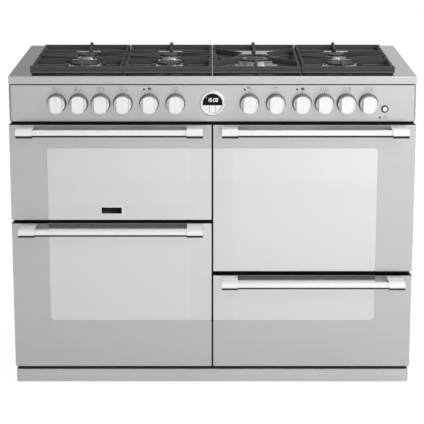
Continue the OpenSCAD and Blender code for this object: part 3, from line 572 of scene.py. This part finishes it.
DIGIT_LIGHT = Lit("clock_digits", (0.95, 0.97, 1.0), 0.4)


def dress(finish: Finish, *names: str) -> None:
    """Gives parts of the frame a finish.

    Args:
        finish: The finish.
        names: The parts.
    """
    for name in names:
        part = bpy.data.objects[name]
        if not part.material_slots:
            part.data.materials.append(finish.material())
        for place in part.material_slots:
            place.material = finish.material()
    log.info("%s on %s", finish.name, ", ".join(names))


class Bench:
    """Modelling moves on one mesh, each on the faces that were picked."""

    def __init__(self, name: str) -> None:
        """Takes the primitive that was just added and applies its place, turn and size.

        Args:
            name: The piece's name.
        """
        self.piece = bpy.context.object
        self.piece.name = name
        self.piece.data.name = name
        bpy.ops.object.transform_apply(location=True, rotation=True, scale=True)

    @staticmethod
    def clear() -> None:
        """Deselects everything."""
        bpy.ops.object.select_all(action="DESELECT")

    @classmethod
    def disc(cls, name: str, radius: float, height: float, at: Point, sides: int,
             turn: Point = STOOD_UP) -> "Bench":
        """Adds a round primitive.

        Args:
            name: The piece's name.
            radius: Its radius.
            height: Its length.
            at: Its middle.
            sides: Its number of sides.
            turn: Its turn. Without one its axis runs front to back.

        Returns:
            The bench that holds it.
        """
        cls.clear()
        bpy.ops.mesh.primitive_cylinder_add(
            vertices=sides, radius=radius, depth=height, location=at, rotation=turn)
        return cls(name)

    @classmethod
    def slab(cls, name: str, size: Point, at: Point) -> "Bench":
        """Adds a box primitive.

        Args:
            name: The piece's name.
            size: Its lengths along X, Y and Z.
            at: Its middle.

        Returns:
            The bench that holds it.
        """
        cls.clear()
        bpy.ops.mesh.primitive_cube_add(size=1.0, location=at, scale=size)
        return cls(name)

    def pick(self, way: Way, larger: float = 0.0) -> "Bench":
        """Opens the mesh and selects its faces that look one way and are larger than an area."""
        bpy.ops.object.mode_set(mode="EDIT")
        bpy.ops.mesh.select_mode(type="FACE")
        bpy.ops.mesh.select_all(action="DESELECT")
        mesh = bmesh.from_edit_mesh(self.piece.data)
        for face in mesh.faces:
            looks = face.normal.dot(Vector(way.value)) > LOOKS_THAT_WAY
            face.select_set(looks and face.calc_area() > larger)
        bmesh.update_edit_mesh(self.piece.data)
        return self

    def inset(self, width: float) -> "Bench":
        """Insets what is picked."""
        bpy.ops.mesh.inset(thickness=width)
        return self

    def pull(self, way: Way, length: float) -> "Bench":
        """Extrudes what is picked."""
        move = tuple(part * length for part in way.value)
        bpy.ops.mesh.extrude_region_move(TRANSFORM_OT_translate={"value": move})
        return self

    def paint(self, finish: Finish) -> "Bench":
        """Gives what is picked a finish of its own, behind the piece's own finish."""
        held = self.piece.data.materials
        if not held:
            held.append(None)
        held.append(finish.material())
        self.piece.active_material_index = len(held) - 1
        bpy.ops.object.material_slot_assign()
        return self

    def round(self, width: float, steps: int = 2) -> "Bench":
        """Ends the edit, bevels the sharp edges and smooths the shading of the others."""
        bpy.ops.object.mode_set(mode="OBJECT")
        bevel = self.piece.modifiers.new("Round", "BEVEL")
        bevel.width = width
        bevel.segments = steps
        bevel.limit_method = "ANGLE"
        bevel.angle_limit = SHARP_EDGE
        bpy.ops.object.modifier_apply(modifier=bevel.name)
        bpy.ops.object.shade_smooth_by_angle(angle=SMOOTH_BELOW)
        return self

    def finish(self, finish: Finish, slot: str, body: str) -> Piece:
        """Ends the edit, dresses the piece and makes it ride.

        Args:
            finish: Its finish, in the first place of its list.
            slot: The record's slot; not used.
            body: The body that carries it.

        Returns:
            The piece.
        """
        bpy.ops.object.mode_set(mode="OBJECT")
        held = self.piece.data.materials
        if held:
            held[0] = finish.material()
        else:
            held.append(finish.material())
        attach(self.piece, body)
        log.info("made %s on %s", self.piece.name, body)
        return self.piece


def again(piece: Piece, name: str, by: Point, body: str) -> None:
    """Copies a finished piece to another place, with its own mesh.

    Args:
        piece: The piece.
        name: The copy's name.
        by: How far it moves.
        body: The body that carries it.
    """
    Bench.clear()
    copy = piece.copy()
    copy.data = piece.data.copy()
    copy.name = name
    copy.data.name = name
    copy.parent = None
    bpy.context.scene.collection.objects.link(copy)
    copy.select_set(True)
    bpy.context.view_layer.objects.active = copy
    bpy.ops.object.mode_set(mode="EDIT")
    bpy.ops.mesh.select_all(action="SELECT")
    bpy.ops.transform.translate(value=by)
    bpy.ops.object.mode_set(mode="OBJECT")
    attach(copy, body)
    log.info("copied %s on %s", name, body)


def row(first: Piece, name: str, spots: tuple[Span, ...], body: str) -> None:
    """Copies a piece from the first of some spots, along X and Z, to each of the others."""
    x, z = spots[0]
    for number, (there, height) in enumerate(spots[1:], 2):
        again(first, f"{name}_{number}", (there - x, 0.0, height - z), body)


@dataclass
class Print:
    """Marks printed on an upright front face: bars and dots on one thin mesh.

    Each mark's place is measured from the print's own.
    """

    name: str
    x: float
    z: float
    face: float = PANEL_FRONT
    proud: float = 0.00008
    seed: float = 0.0001
    marks: list[tuple[Mark, float, float, float, float]] = field(default_factory=list)

    def bar(self, x: float, z: float, wide: float, high: float) -> "Print":
        """Adds a bar with its middle at x, z."""
        self.marks.append((Mark.BAR, self.x + x, self.z + z, wide, high))
        return self

    def dot(self, x: float, z: float, radius: float) -> "Print":
        """Adds a dot with its middle at x, z."""
        self.marks.append((Mark.DOT, self.x + x, self.z + z, radius, radius))
        return self

    def frame(self, wide: float, high: float, line: float) -> "Print":
        """Adds a box outline."""
        for side in (-1, 1):
            self.bar(0.0, side * (high - line) / 2, wide, line)
            self.bar(side * (wide - line) / 2, 0.0, line, high - 2 * line)
        return self

    def ring(self, x: float, z: float, radius: float, line: float) -> None:
        """Adds a ring of dots with its middle at x, z."""
        for part in range(RING_DOTS):
            turn = 2 * math.pi * part / RING_DOTS
            self.dot(x + radius * math.cos(turn), z + radius * math.sin(turn), line / 2)

    def make(self, finish: Finish, slot: str, lean: float = 0.0) -> None:
        """Builds the marks as one piece, in a mesh that starts as a tiny plane and is emptied.

        Args:
            finish: Its ink.
            slot: The record's slot.
            lean: How far the marks lean to the right, for each unit of height.
        """
        Bench.clear()
        bpy.ops.mesh.primitive_plane_add(size=self.seed, location=(0.0, self.face, 0.0))
        bench = Bench(self.name)
        bpy.ops.object.mode_set(mode="EDIT")
        bpy.ops.mesh.delete(type="VERT")
        for kind, x, z, wide, high in self.marks:
            at = (x, self.face, z)
            bpy.ops.mesh.select_all(action="DESELECT")
            if kind is Mark.BAR:
                bpy.ops.mesh.primitive_plane_add(size=1.0, location=at, rotation=STOOD_UP)
                bpy.ops.transform.resize(value=(wide, 1.0, high), center_override=at)
            else:
                bpy.ops.mesh.primitive_circle_add(
                    vertices=DOT_SIDES, radius=wide, fill_type="NGON", location=at,
                    rotation=STOOD_UP)
        bpy.ops.mesh.select_all(action="SELECT")
        bench.pull(Way.FRONT, self.proud)
        bpy.ops.mesh.select_all(action="SELECT")
        bpy.ops.mesh.normals_make_consistent(inside=False)
        bpy.ops.object.mode_set(mode="OBJECT")
        if lean:
            foot = min(z for _, _, z, _, _ in self.marks)
            for corner in bench.piece.data.vertices:
                corner.co.x += (corner.co.z - foot) * lean
        bench.finish(finish, slot, "cooker_body")


@dataclass
class Screws:
    """Small screws with a round recess, in rows on one face of a node.

    One is made and the others are copied from it. The rims are parts of the radius.
    """

    name: str
    body: str
    level: float
    way: Way
    radius: float = 0.0042
    high: float = 0.0020
    sides: int = 20
    rim: float = 0.22
    recess_rim: float = 0.3
    dome: float = 0.0001
    recess: float = 0.0006
    edge: float = 0.00025

    def build(self, spots: tuple[Span, ...], finish: Finish, slot: str) -> None:
        """Makes a screw at each place.

        Args:
            spots: The places, along X and Z.
            finish: The finish of the heads.
            slot: The record's slot.
        """
        x, z = spots[0]
        middle = (x, self.level, z)
        bench = Bench.disc(f"{self.name}_1", self.radius, self.high, middle, self.sides)
        bench.pick(self.way).inset(self.radius * self.rim).pull(self.way, self.dome)
        bench.inset(self.radius * self.recess_rim).pull(self.way, -self.recess)
        bench.round(self.edge)
        row(bench.finish(finish, slot, self.body), self.name, spots, self.body)


@dataclass
class Body:
    """Chassis, outer panels, plinth and feet."""

    columns: tuple[float, ...] = (-0.505, -0.25, 0.0, 0.25)
    upper_column: float = 0.345
    lower_column: float = 0.505
    inlet_columns: Span = (0.378, 0.514)
    upper_rows: Span = (0.842, 0.763)
    lower_rows: Span = (0.741, 0.056)
    side_rows: tuple[float, ...] = (0.2, 0.34, 0.48, 0.62)
    side_column: float = 0.515

    def build(self) -> None:
        """Dresses the body."""
        dress(FRAME_STEEL, "chassis")
        dress(SIDE_PAINT, "side_panels")
        dress(BACK_ZINC, "rear_panel")
        dress(PLINTH_STEEL_PAINTED_LIGHTER, "plinth")
        dress(BLACK_PLASTIC, "levelling_feet")
        self.rear_screws()

    def rear_screws(self) -> None:
        """Makes the screws round the three sheets of the rear panel."""
        sheets = ((self.upper_rows, (*self.columns, self.upper_column)),
                  (self.upper_rows, self.inlet_columns),
                  (self.lower_rows, (*self.columns, self.lower_column)),
                  (self.side_rows, (-self.side_column, self.side_column)))
        spots = tuple((x, z) for rows, columns in sheets for z in rows for x in columns)
        screws = Screws("rear_screw", "cooker_body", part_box("rear_panel")[1][1], Way.BACK)
        screws.build(spots, SCREW_ZINC, "galvanised")


@dataclass
class Ovens:
    """The four cavities and what is in them."""

    cover_radius: float = 0.105
    screw_reach: float = 0.0975
    screw_angles: Point = (90.0, 210.0, 330.0)

    def build(self) -> None:
        """Dresses the ovens and makes the screws of the two fan covers."""
        dress(OVEN_ENAMEL, "liner_grill_oven", "liner_main_oven", "liner_tall_oven",
              "liner_slow_oven", "fan_covers", "grill_pan")
        dress(WIRE_CHROME, "oven_shelves")
        dress(ELEMENT_STEEL, "heating_elements")
        dress(SEAL_ROPE, "door_seals")
        dress(BACK_ZINC, "fan_motors", "fan_main_oven", "fan_tall_oven")
        dress(GAS_BRASS, "gas_train")
        least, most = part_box("fan_covers")
        low, high = least[2] + self.cover_radius, most[2] - self.cover_radius
        middles = [(least[0] + self.cover_radius, low), (most[0] - self.cover_radius, high)]
        reach, turns = self.screw_reach, [math.radians(angle) for angle in self.screw_angles]
        spots = tuple((x + reach * math.cos(turn), z + reach * math.sin(turn))
                      for x, z in middles for turn in turns)
        screws = Screws("fan_cover_screw", "cooker_body", least[1], Way.FRONT, 0.0034)
        screws.build(spots, PIN_CHROME, "wire_chrome")


@dataclass
class Hob:
    """Hob top, burners and pan supports. A burner is given by its X, depth and radius."""

    burners: tuple[Point, ...] = (
        (-0.355, 0.162, 0.046), (-0.355, 0.322, 0.036), (-0.120, 0.162, 0.038),
        (-0.120, 0.322, 0.038), (0.355, 0.162, 0.046), (0.355, 0.322, 0.032),
        (0.120, 0.242, 0.064),
    )
    electrode_turns: tuple[tuple[str, float], ...] = (("spark", 40.0), ("sensor", 140.0))
    electrode_gap: float = 0.0055
    electrode_foot: float = 0.872
    electrode_top: float = 0.889
    electrode_tip: float = 0.005
    sleeve: float = 0.0024
    collar_rim: float = 0.0007
    collar: float = 0.0012
    pin_rim: float = 0.001
    pin: float = 0.004
    supports: tuple[str, ...] = (
        "support_left", "support_inner_left", "support_wok", "support_right")
    # The shade strip: a near-black piece under each front bar that stands in for the shadow there.
    skirt_back: float = 0.006
    skirt_shorter: float = 0.006
    skirt_deep: float = 0.004
    skirt_rows: Span = (0.8757, 0.8815)
    skirt_rim: float = 0.0008
    skirt_step: float = 0.0002

    def build(self) -> None:
        """Dresses the hob and makes its small pieces."""
        dress(HOB_STEEL, "hob_top")
        dress(CROWN_ALLOY, "burner_heads")
        dress(CAP_ENAMEL, "burner_caps")
        dress(IRON, *self.supports)
        self.electrodes()
        # Each support gets a painted-shade strip under its front bar.
        for name in self.supports:
            self.front_skirt(name)

    def front_skirt(self, name: str) -> None:
        """Makes a thin near-black strip behind a pan support's front bar, just clear of the hob: a
        dark piece that stands in for the shadow in the gap under the bar.

        Args:
            name: The pan support's node.
        """
        least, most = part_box(name)
        low, high = self.skirt_rows
        size = (most[0] - least[0] - self.skirt_shorter, self.skirt_deep, high - low)
        middle = ((least[0] + most[0]) / 2, least[1] + self.skirt_back + self.skirt_deep / 2,
                  (low + high) / 2)
        # Painted shade: this near-black strip fills the shadowed gap under the bar.
        bench = Bench.slab(f"{name}_skirt", size, middle)
        bench.pick(Way.DOWN).inset(self.skirt_rim).pull(Way.DOWN, self.skirt_step)
        bench.round(0.0004)
        bench.finish(SHADE_STRIP_IRON, "cast_iron", f"{name}_body")

    def electrodes(self) -> None:
        """Makes the spark electrode and the flame sensor of each burner."""
        spots: list[tuple[str, Vector]] = []
        for number, (x, depth, radius) in enumerate(self.burners, 1):
            reach = radius + self.electrode_gap
            for kind, degrees in self.electrode_turns:
                turn = math.radians(degrees)
                spot = (x + reach * math.cos(turn), HOB_FRONT + depth - reach * math.sin(turn))
                spots.append((f"burner_{number}_{kind}", Vector(spot)))
        (name, home), *others = spots
        first = self.electrode(name, home)
        for name, spot in others:
            again(first, name, (*(spot - home), 0.0), "cooker_body")

    def electrode(self, name: str, spot: Vector) -> Piece:
        """Makes one electrode: a ceramic sleeve with a collar and a bare pin.

        Args:
            name: The piece's name.
            spot: Its place on the hob.

        Returns:
            The piece.
        """
        foot, top, tip = self.electrode_foot, self.electrode_top, self.electrode_tip
        middle = (spot.x, spot.y, (foot + top - tip) / 2)
        bench = Bench.disc(name, self.sleeve, top - tip - foot, middle, 20, (0.0, 0.0, 0.0))
        bench.pick(Way.UP).inset(self.collar_rim).pull(Way.UP, self.collar)
        bench.inset(self.pin_rim).pull(Way.UP, self.pin).paint(PIN_CHROME).round(0.0002, 1)
        return bench.finish(CERAMIC, "white_plastic", "cooker_body")


@dataclass
class ControlPanel:
    """Panel, knobs, clock and push button with their printing."""

    gas_knobs: tuple[float, ...] = (-0.421, -0.362, -0.302, -0.242, 0.302, 0.362, 0.421)
    gas_burners: tuple[int, ...] = (1, 0, 3, 2, 6, 5, 4)
    oven_knobs: tuple[float, ...] = (-0.171, -0.100, 0.100, 0.171, 0.242)
    knob_front: float = HOB_FRONT - 0.034
    index: Point = (0.0012, 0.0003, 0.0075)
    index_sunk: float = 0.0001
    index_up: float = 0.0165
    index_rim: float = 0.00025
    index_step: float = 0.0001

    icon_row: float = 0.8405
    icon_frame: Point = (0.0205, 0.0098, 0.0004)
    icon_burners: tuple[Span, ...] = (
        (-0.0075, -0.0022), (-0.0075, 0.0022), (-0.0025, -0.0022), (-0.0025, 0.0022),
        (0.0075, -0.0022), (0.0075, 0.0022), (0.0025, 0.0),
    )
    lit_dot: float = 0.0017
    unlit_dot: float = 0.0009
    tick_down: float = 0.008
    tick: Span = (0.0013, 0.0034)
    spark_at: Span = (0.4685, 0.7630)
    lamps: tuple[Span, ...] = (
        (-0.1845, 0.8395), (0.0870, 0.8395), (0.2285, 0.8395), (0.4530, 0.7630))
    lamp: Span = (0.0026, 0.0016)
    lamp_proud: float = 0.0012
    lens_rims: Span = (0.0007, 0.0006)
    lens: float = 0.0005

    clock_front: float = HOB_FRONT - 0.0021
    digit_foot: float = 0.8062
    digit: Point = (0.0050, 0.0096, 0.0011)
    digit_columns: Four = (-0.0118, -0.0050, 0.0050, 0.0118)
    digit_lean: float = 0.12
    colon_dot: float = 0.0007
    mode_dot: Point = (-0.0175, 0.0022, 0.0008)

    def build(self) -> None:
        """Dresses the panel's parts and makes its small pieces."""
        dress(FRONT_STEEL, "control_panel")
        dress(BEZEL_CHROME, "timer_bezel")
        dress(BLACK_PLASTIC, "timer_and_switch_bodies")
        dress(WHITE_PLASTIC, "timer_button_left", "timer_button_middle", "timer_button_right",
              "ignition_button")
        dress(KNOB_METAL_PAINTED_SHADE, *(name for name, _ in self.knobs()))
        self.icons()
        self.indicator_lamps()
        self.knob_marks()
        self.clock_digits()

    def knobs(self) -> list[tuple[str, float]]:
        """Returns the node and the X of each knob."""
        rows = (("gas_knob", self.gas_knobs), ("oven_knob", self.oven_knobs))
        return [(f"{kind}_{number}", x) for kind, row in rows for number, x in enumerate(row, 1)]

    def icons(self) -> None:
        """Prints the icon and tick over each knob, and the spark by the push button."""
        for number, (x, lit) in enumerate(zip(self.gas_knobs, self.gas_burners), 1):
            ink = Print(f"gas_icon_{number}", x, self.icon_row)
            self.burner_icon(ink, lit)
            self.label(ink)
        draw = (self.grill_icon, self.base_icon, self.fan_icon, self.heat_icon, self.grill_icon)
        for number, (x, icon) in enumerate(zip(self.oven_knobs, draw), 1):
            ink = Print(f"oven_icon_{number}", x, self.icon_row)
            icon(ink)
            self.label(ink)
        spark = Print("ignition_icon", *self.spark_at).frame(0.0098, 0.0076, 0.0005)
        spark.bar(0.0, 0.0, 0.0052, 0.0007).bar(0.0, 0.0, 0.0007, 0.0045)
        spark.make(PRINT_INK, "black_plastic")

    def label(self, ink: Print) -> None:
        """Adds a knob's tick under its icon and prints both."""
        ink.bar(0.0, -self.tick_down, *self.tick)
        ink.make(PRINT_INK, "black_plastic")

    def burner_icon(self, ink: Print, lit: int) -> None:
        """Draws the hob's seven burners in a frame, with one of them large."""
        for place, (right, up) in enumerate(self.icon_burners):
            ink.dot(right, up, self.lit_dot if place == lit else self.unlit_dot)
        ink.frame(*self.icon_frame)

    def grill_icon(self, ink: Print) -> None:
        """Draws a filled oven."""
        ink.bar(0.0012, 0.0006, 0.0092, 0.0066)

    def base_icon(self, ink: Print) -> None:
        """Draws an oven with an upper and a lower heat line."""
        ink.frame(0.0118, 0.0098, 0.0006)
        ink.bar(0.0, 0.0026, 0.0070, 0.0007).bar(0.0, -0.0026, 0.0070, 0.0007)

    def fan_icon(self, ink: Print) -> None:
        """Draws a fan under an upper heat bar."""
        ink.bar(-0.0024, 0.0032, 0.0100, 0.0026).ring(0.0052, -0.0012, 0.0021, 0.0005)

    def heat_icon(self, ink: Print) -> None:
        """Draws one wide heat line over a thin tray."""
        ink.bar(0.0, 0.0034, 0.0150, 0.0014).bar(0.0, -0.0022, 0.0078, 0.0005)

    def indicator_lamps(self) -> None:
        """Makes the round lenses of the indicator lamps."""
        x, z = self.lamps[0]
        radius, long = self.lamp
        middle = (x, PANEL_FRONT + long / 2 - self.lamp_proud, z)
        bench = Bench.disc("indicator_lamp_1", radius, long, middle, 28)
        bench.pick(Way.FRONT).inset(self.lens_rims[0]).pull(Way.FRONT, self.lens)
        bench.inset(self.lens_rims[1]).round(0.0003)
        first = bench.finish(LAMP_BLACK, "black_plastic", "cooker_body")
        row(first, "indicator_lamp", self.lamps, "cooker_body")

    def knob_marks(self) -> None:
        """Makes the index line on each knob's grip, partly sunk in it."""
        (name, home), *others = self.knobs()
        middle = (home, self.knob_front + self.index_sunk - self.index[1] / 2,
                  KNOB_ROW + self.index_up)
        bench = Bench.slab(f"{name}_index", self.index, middle)
        bench.pick(Way.FRONT).inset(self.index_rim).pull(Way.FRONT, self.index_step)
        bench.round(0.0001, 1)
        first = bench.finish(INDEX_GREY, "knob_metal", f"{name}_body")
        for name, x in others:
            again(first, f"{name}_index", (x - home, 0.0, 0.0), f"{name}_body")

    def clock_digits(self) -> None:
        """Lights four digits, a colon and a small dot in the clock's dark face."""
        wide, high, line = self.digit
        side = (wide - line) / 2
        arm, post = (wide - line, line), (line, high / 2 - line)
        strokes = {
            "a": (0.0, high - line / 2, *arm), "g": (0.0, high / 2, *arm),
            "d": (0.0, line / 2, *arm),
            "f": (-side, high * 0.75, *post), "b": (side, high * 0.75, *post),
            "e": (-side, high * 0.25, *post), "c": (side, high * 0.25, *post),
        }
        shapes = {"1": "bc", "5": "afgcd", "0": "abcdef"}
        ink = Print("clock_digits", 0.0, self.digit_foot, self.clock_front, 0.0001)
        for x, digit in zip(self.digit_columns, "1500"):
            for stroke in shapes[digit]:
                right, up, *size = strokes[stroke]
                ink.bar(x + right, up, *size)
        ink.dot(0.0, high * 0.3, self.colon_dot).dot(0.0, high * 0.7, self.colon_dot)
        left, over, radius = self.mode_dot
        ink.dot(left, high + over, radius)
        ink.make(DIGIT_LIGHT, "white_plastic", self.digit_lean)


@dataclass
class Doors:
    """The four doors with their glass, handles and the bare plate.

    A window is given by its left, right, lower and upper edge, and the plate by its middle,
    width and height.
    """

    windows: tuple[tuple[str, Four], ...] = (
        ("grill", (-0.46, -0.062, 0.525, 0.70)),
        ("main", (-0.46, -0.062, 0.180, 0.4045)),
        ("tall", (0.055, 0.46, 0.347, 0.70)),
        ("slow", (0.055, 0.46, 0.180, 0.2561)),
    )
    glass: Colour = (0.82, 0.836, 0.812)
    glass_roughness: float = 0.1
    screw_over_foot: float = 0.03
    screw_under_top: float = 0.01
    screw_from_side: float = 0.022
    plate: Four = (-0.2755, 0.5076, 0.0605, 0.0222)
    plate_thick: float = 0.0016
    plate_rim: float = 0.0019
    plate_sunk: float = 0.0004

    def build(self) -> None:
        """Dresses the doors and makes the bare plate."""
        for name, window in self.windows:
            dress(DOOR_STEEL_SHADED_TOP, f"skin_{name}_door")
            dress(OVEN_ENAMEL, f"inner_{name}_door")
            dress(HANDLE_CHROME_PAINTED_SHADE, f"handle_{name}_door")
            glass = CoatedGlass(f"{name}_door_glass", self.glass,
                                self.glass_roughness, window)
            dress(glass, f"glass_{name}_door")
            self.screws(name)
        self.bare_plate()

    def screws(self, name: str) -> None:
        """Makes the six screws down the sides of a door's inner panel."""
        least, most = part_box(f"inner_{name}_door")
        low, high = least[2] + self.screw_over_foot, most[2] - self.screw_under_top
        heights = (low, (least[2] + most[2]) / 2, high)
        columns = (least[0] + self.screw_from_side, most[0] - self.screw_from_side)
        screws = Screws(f"{name}_door_screw", f"{name}_door", most[1], Way.BACK, 0.0034, 0.0016)
        spots = tuple((x, z) for z in heights for x in columns)
        screws.build(spots, PIN_CHROME, "wire_chrome")

    def bare_plate(self) -> None:
        """Makes the small plate low on the upper left door: a rim and a sunk dark face."""
        x, z, wide, high = self.plate
        middle = (x, DOOR_FRONT - self.plate_thick / 2, z)
        bench = Bench.slab("bare_plate", (wide, self.plate_thick, high), middle)
        bench.round(0.0006).pick(Way.FRONT, wide * high / 2).inset(self.plate_rim)
        bench.pull(Way.BACK, self.plate_sunk).paint(LAMP_BLACK)
        bench.finish(BEZEL_CHROME, "polished_chrome", "grill_door")


@dataclass(frozen=True)
class Softbox:
    """One square soft light: its side, its power in watts and the point that it faces."""

    name: str
    at: Point
    size: float
    power: float
    aim: Point

    def hang(self) -> None:
        """Hangs the light."""
        bpy.ops.object.light_add(type="AREA", location=self.at)
        lamp = bpy.context.object
        lamp.name = self.name
        lamp.data.size = self.size
        lamp.data.energy = self.power
        way = Vector(self.aim) - Vector(self.at)
        lamp.rotation_euler = way.to_track_quat("-Z", "Y").to_euler()


@dataclass
class Studio:
    """Floor, surrounding, lights and camera.

    A fade is given by where it starts and ends, and by its dim and its bright strength.
    """

    lights: tuple[Softbox, ...] = (
        Softbox("key_light", (2.6, -3.2, 3.0), 2.6, 94.0, (0.0, 0.0, 0.5)),
        Softbox("fill_light", (-3.2, -2.6, 2.2), 2.2, 1.5, (0.0, 0.0, 0.5)),
        Softbox("top_light", (0.3, 0.6, 3.6), 2.4, 15.0, (0.0, 0.1, 0.9)),
    )
    camera_at: Point = (-0.0012, HOB_FRONT - 4.400, 1.572)
    pitch: float = 13.7
    lens: float = 140.1
    floor: Point = (14.0, 14.0, 1.0)
    floor_tones: tuple[Colour, Colour] = ((0.80, 0.80, 0.80), (0.83, 0.83, 0.83))
    floor_glow: float = 1.12
    floor_glow_share: float = 0.85
    sky_colour: Four = (0.99, 0.99, 1.0, 1.0)
    sky_fade: Four = (-0.3, 0.3, 0.19, 0.72)
    screen_at: Point = (0.0, -2.7, 1.85)
    screen_size: Point = (4.6, 3.6, 1.0)
    screen_fade: Four = (-0.95, 0.9, 0.63, 1.04)

    def build(self) -> None:
        """Makes the studio."""
        self.ground()
        self.sky()
        self.screen()
        for light in self.lights:
            light.hang()
        self.camera()

    def plane(self, name: str, size: Point, at: Point, turn: Point) -> tuple[Piece, Sheet]:
        """Adds a plane.

        Args:
            name: Its name, and that of its material.
            size: Its sides.
            at: Its middle.
            turn: Its turn.

        Returns:
            The plane and its sheet.
        """
        Bench.clear()
        bpy.ops.mesh.primitive_plane_add(size=1.0, location=at, rotation=turn)
        bpy.context.object.scale = size
        sheet = Sheet(name)
        made = Bench(name).piece
        made.data.materials.append(sheet.material)
        return made, sheet

    def ground(self) -> None:
        """Lays the floor: plain and pale, white to the camera but for shadows."""
        floor, sheet = self.plane("studio_floor", self.floor, (0.0, 0.0, 0.0), (0.0, 0.0, 0.0))
        sheet.wire(sheet.blend(sheet.noise(3.0), *self.floor_tones), "Base Color")
        sheet.put(Roughness=0.9)
        seen = sheet.node("LightPath").outputs["Is Camera Ray"]
        share = sheet.math("MULTIPLY", seen, self.floor_glow_share)
        glow = sheet.node("Emission", Color=WHITE, Strength=self.floor_glow)
        sheet.mix(share, sheet.shader.outputs[0], glow.outputs[0])

    def sky(self) -> None:
        """Sets a white surrounding for the camera and a grey one, paler on one side, for light."""
        world = bpy.data.worlds.new("studio")
        bpy.context.scene.world = world
        tree = Tree(world, "Generated")
        grey = tree.nodes["Background"]
        grey.inputs["Color"].default_value = self.sky_colour
        fade = tree.range(tree.split(0), self.sky_fade[:2], self.sky_fade[2:])
        fade.node.interpolation_type = "SMOOTHSTEP"
        tree.links.new(fade, grey.inputs["Strength"])
        white = tree.node("Background", Color=WHITE, Strength=1.0)
        seen = tree.node("LightPath").outputs["Is Camera Ray"]
        tree.mix(seen, grey.outputs[0], white.outputs[0])

    def screen(self) -> None:
        """Stands a glowing screen in front, brighter to the right, that reflections show."""
        screen, sheet = self.plane("studio_screen", self.screen_size, self.screen_at, STOOD_UP)
        glow = sheet.node("Emission", Color=WHITE)
        fade = sheet.range(sheet.split(0), self.screen_fade[:2], self.screen_fade[2:])
        sheet.links.new(fade, glow.inputs["Strength"])
        sheet.show(glow.outputs[0])
        screen.visible_camera = False
        screen.visible_shadow = False

    def camera(self) -> None:
        """Sets the camera at the photograph's viewing angle."""
        bpy.ops.object.camera_add(
            location=self.camera_at, rotation=(math.radians(90.0 - self.pitch), 0.0, 0.0))
        camera = bpy.context.object
        camera.name = "photo_camera"
        camera.data.lens = self.lens
        bpy.context.scene.camera = camera


def main() -> None:
    """Builds the scene in order."""
    logging.basicConfig(level=logging.INFO, format="%(name)s: %(message)s")
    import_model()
    for part in (Body(), Ovens(), Hob(), ControlPanel(), Doors(), Studio()):
        part.build()
    bpy.context.scene.view_settings.view_transform = "Standard"


if __name__ == "__main__":
    main()
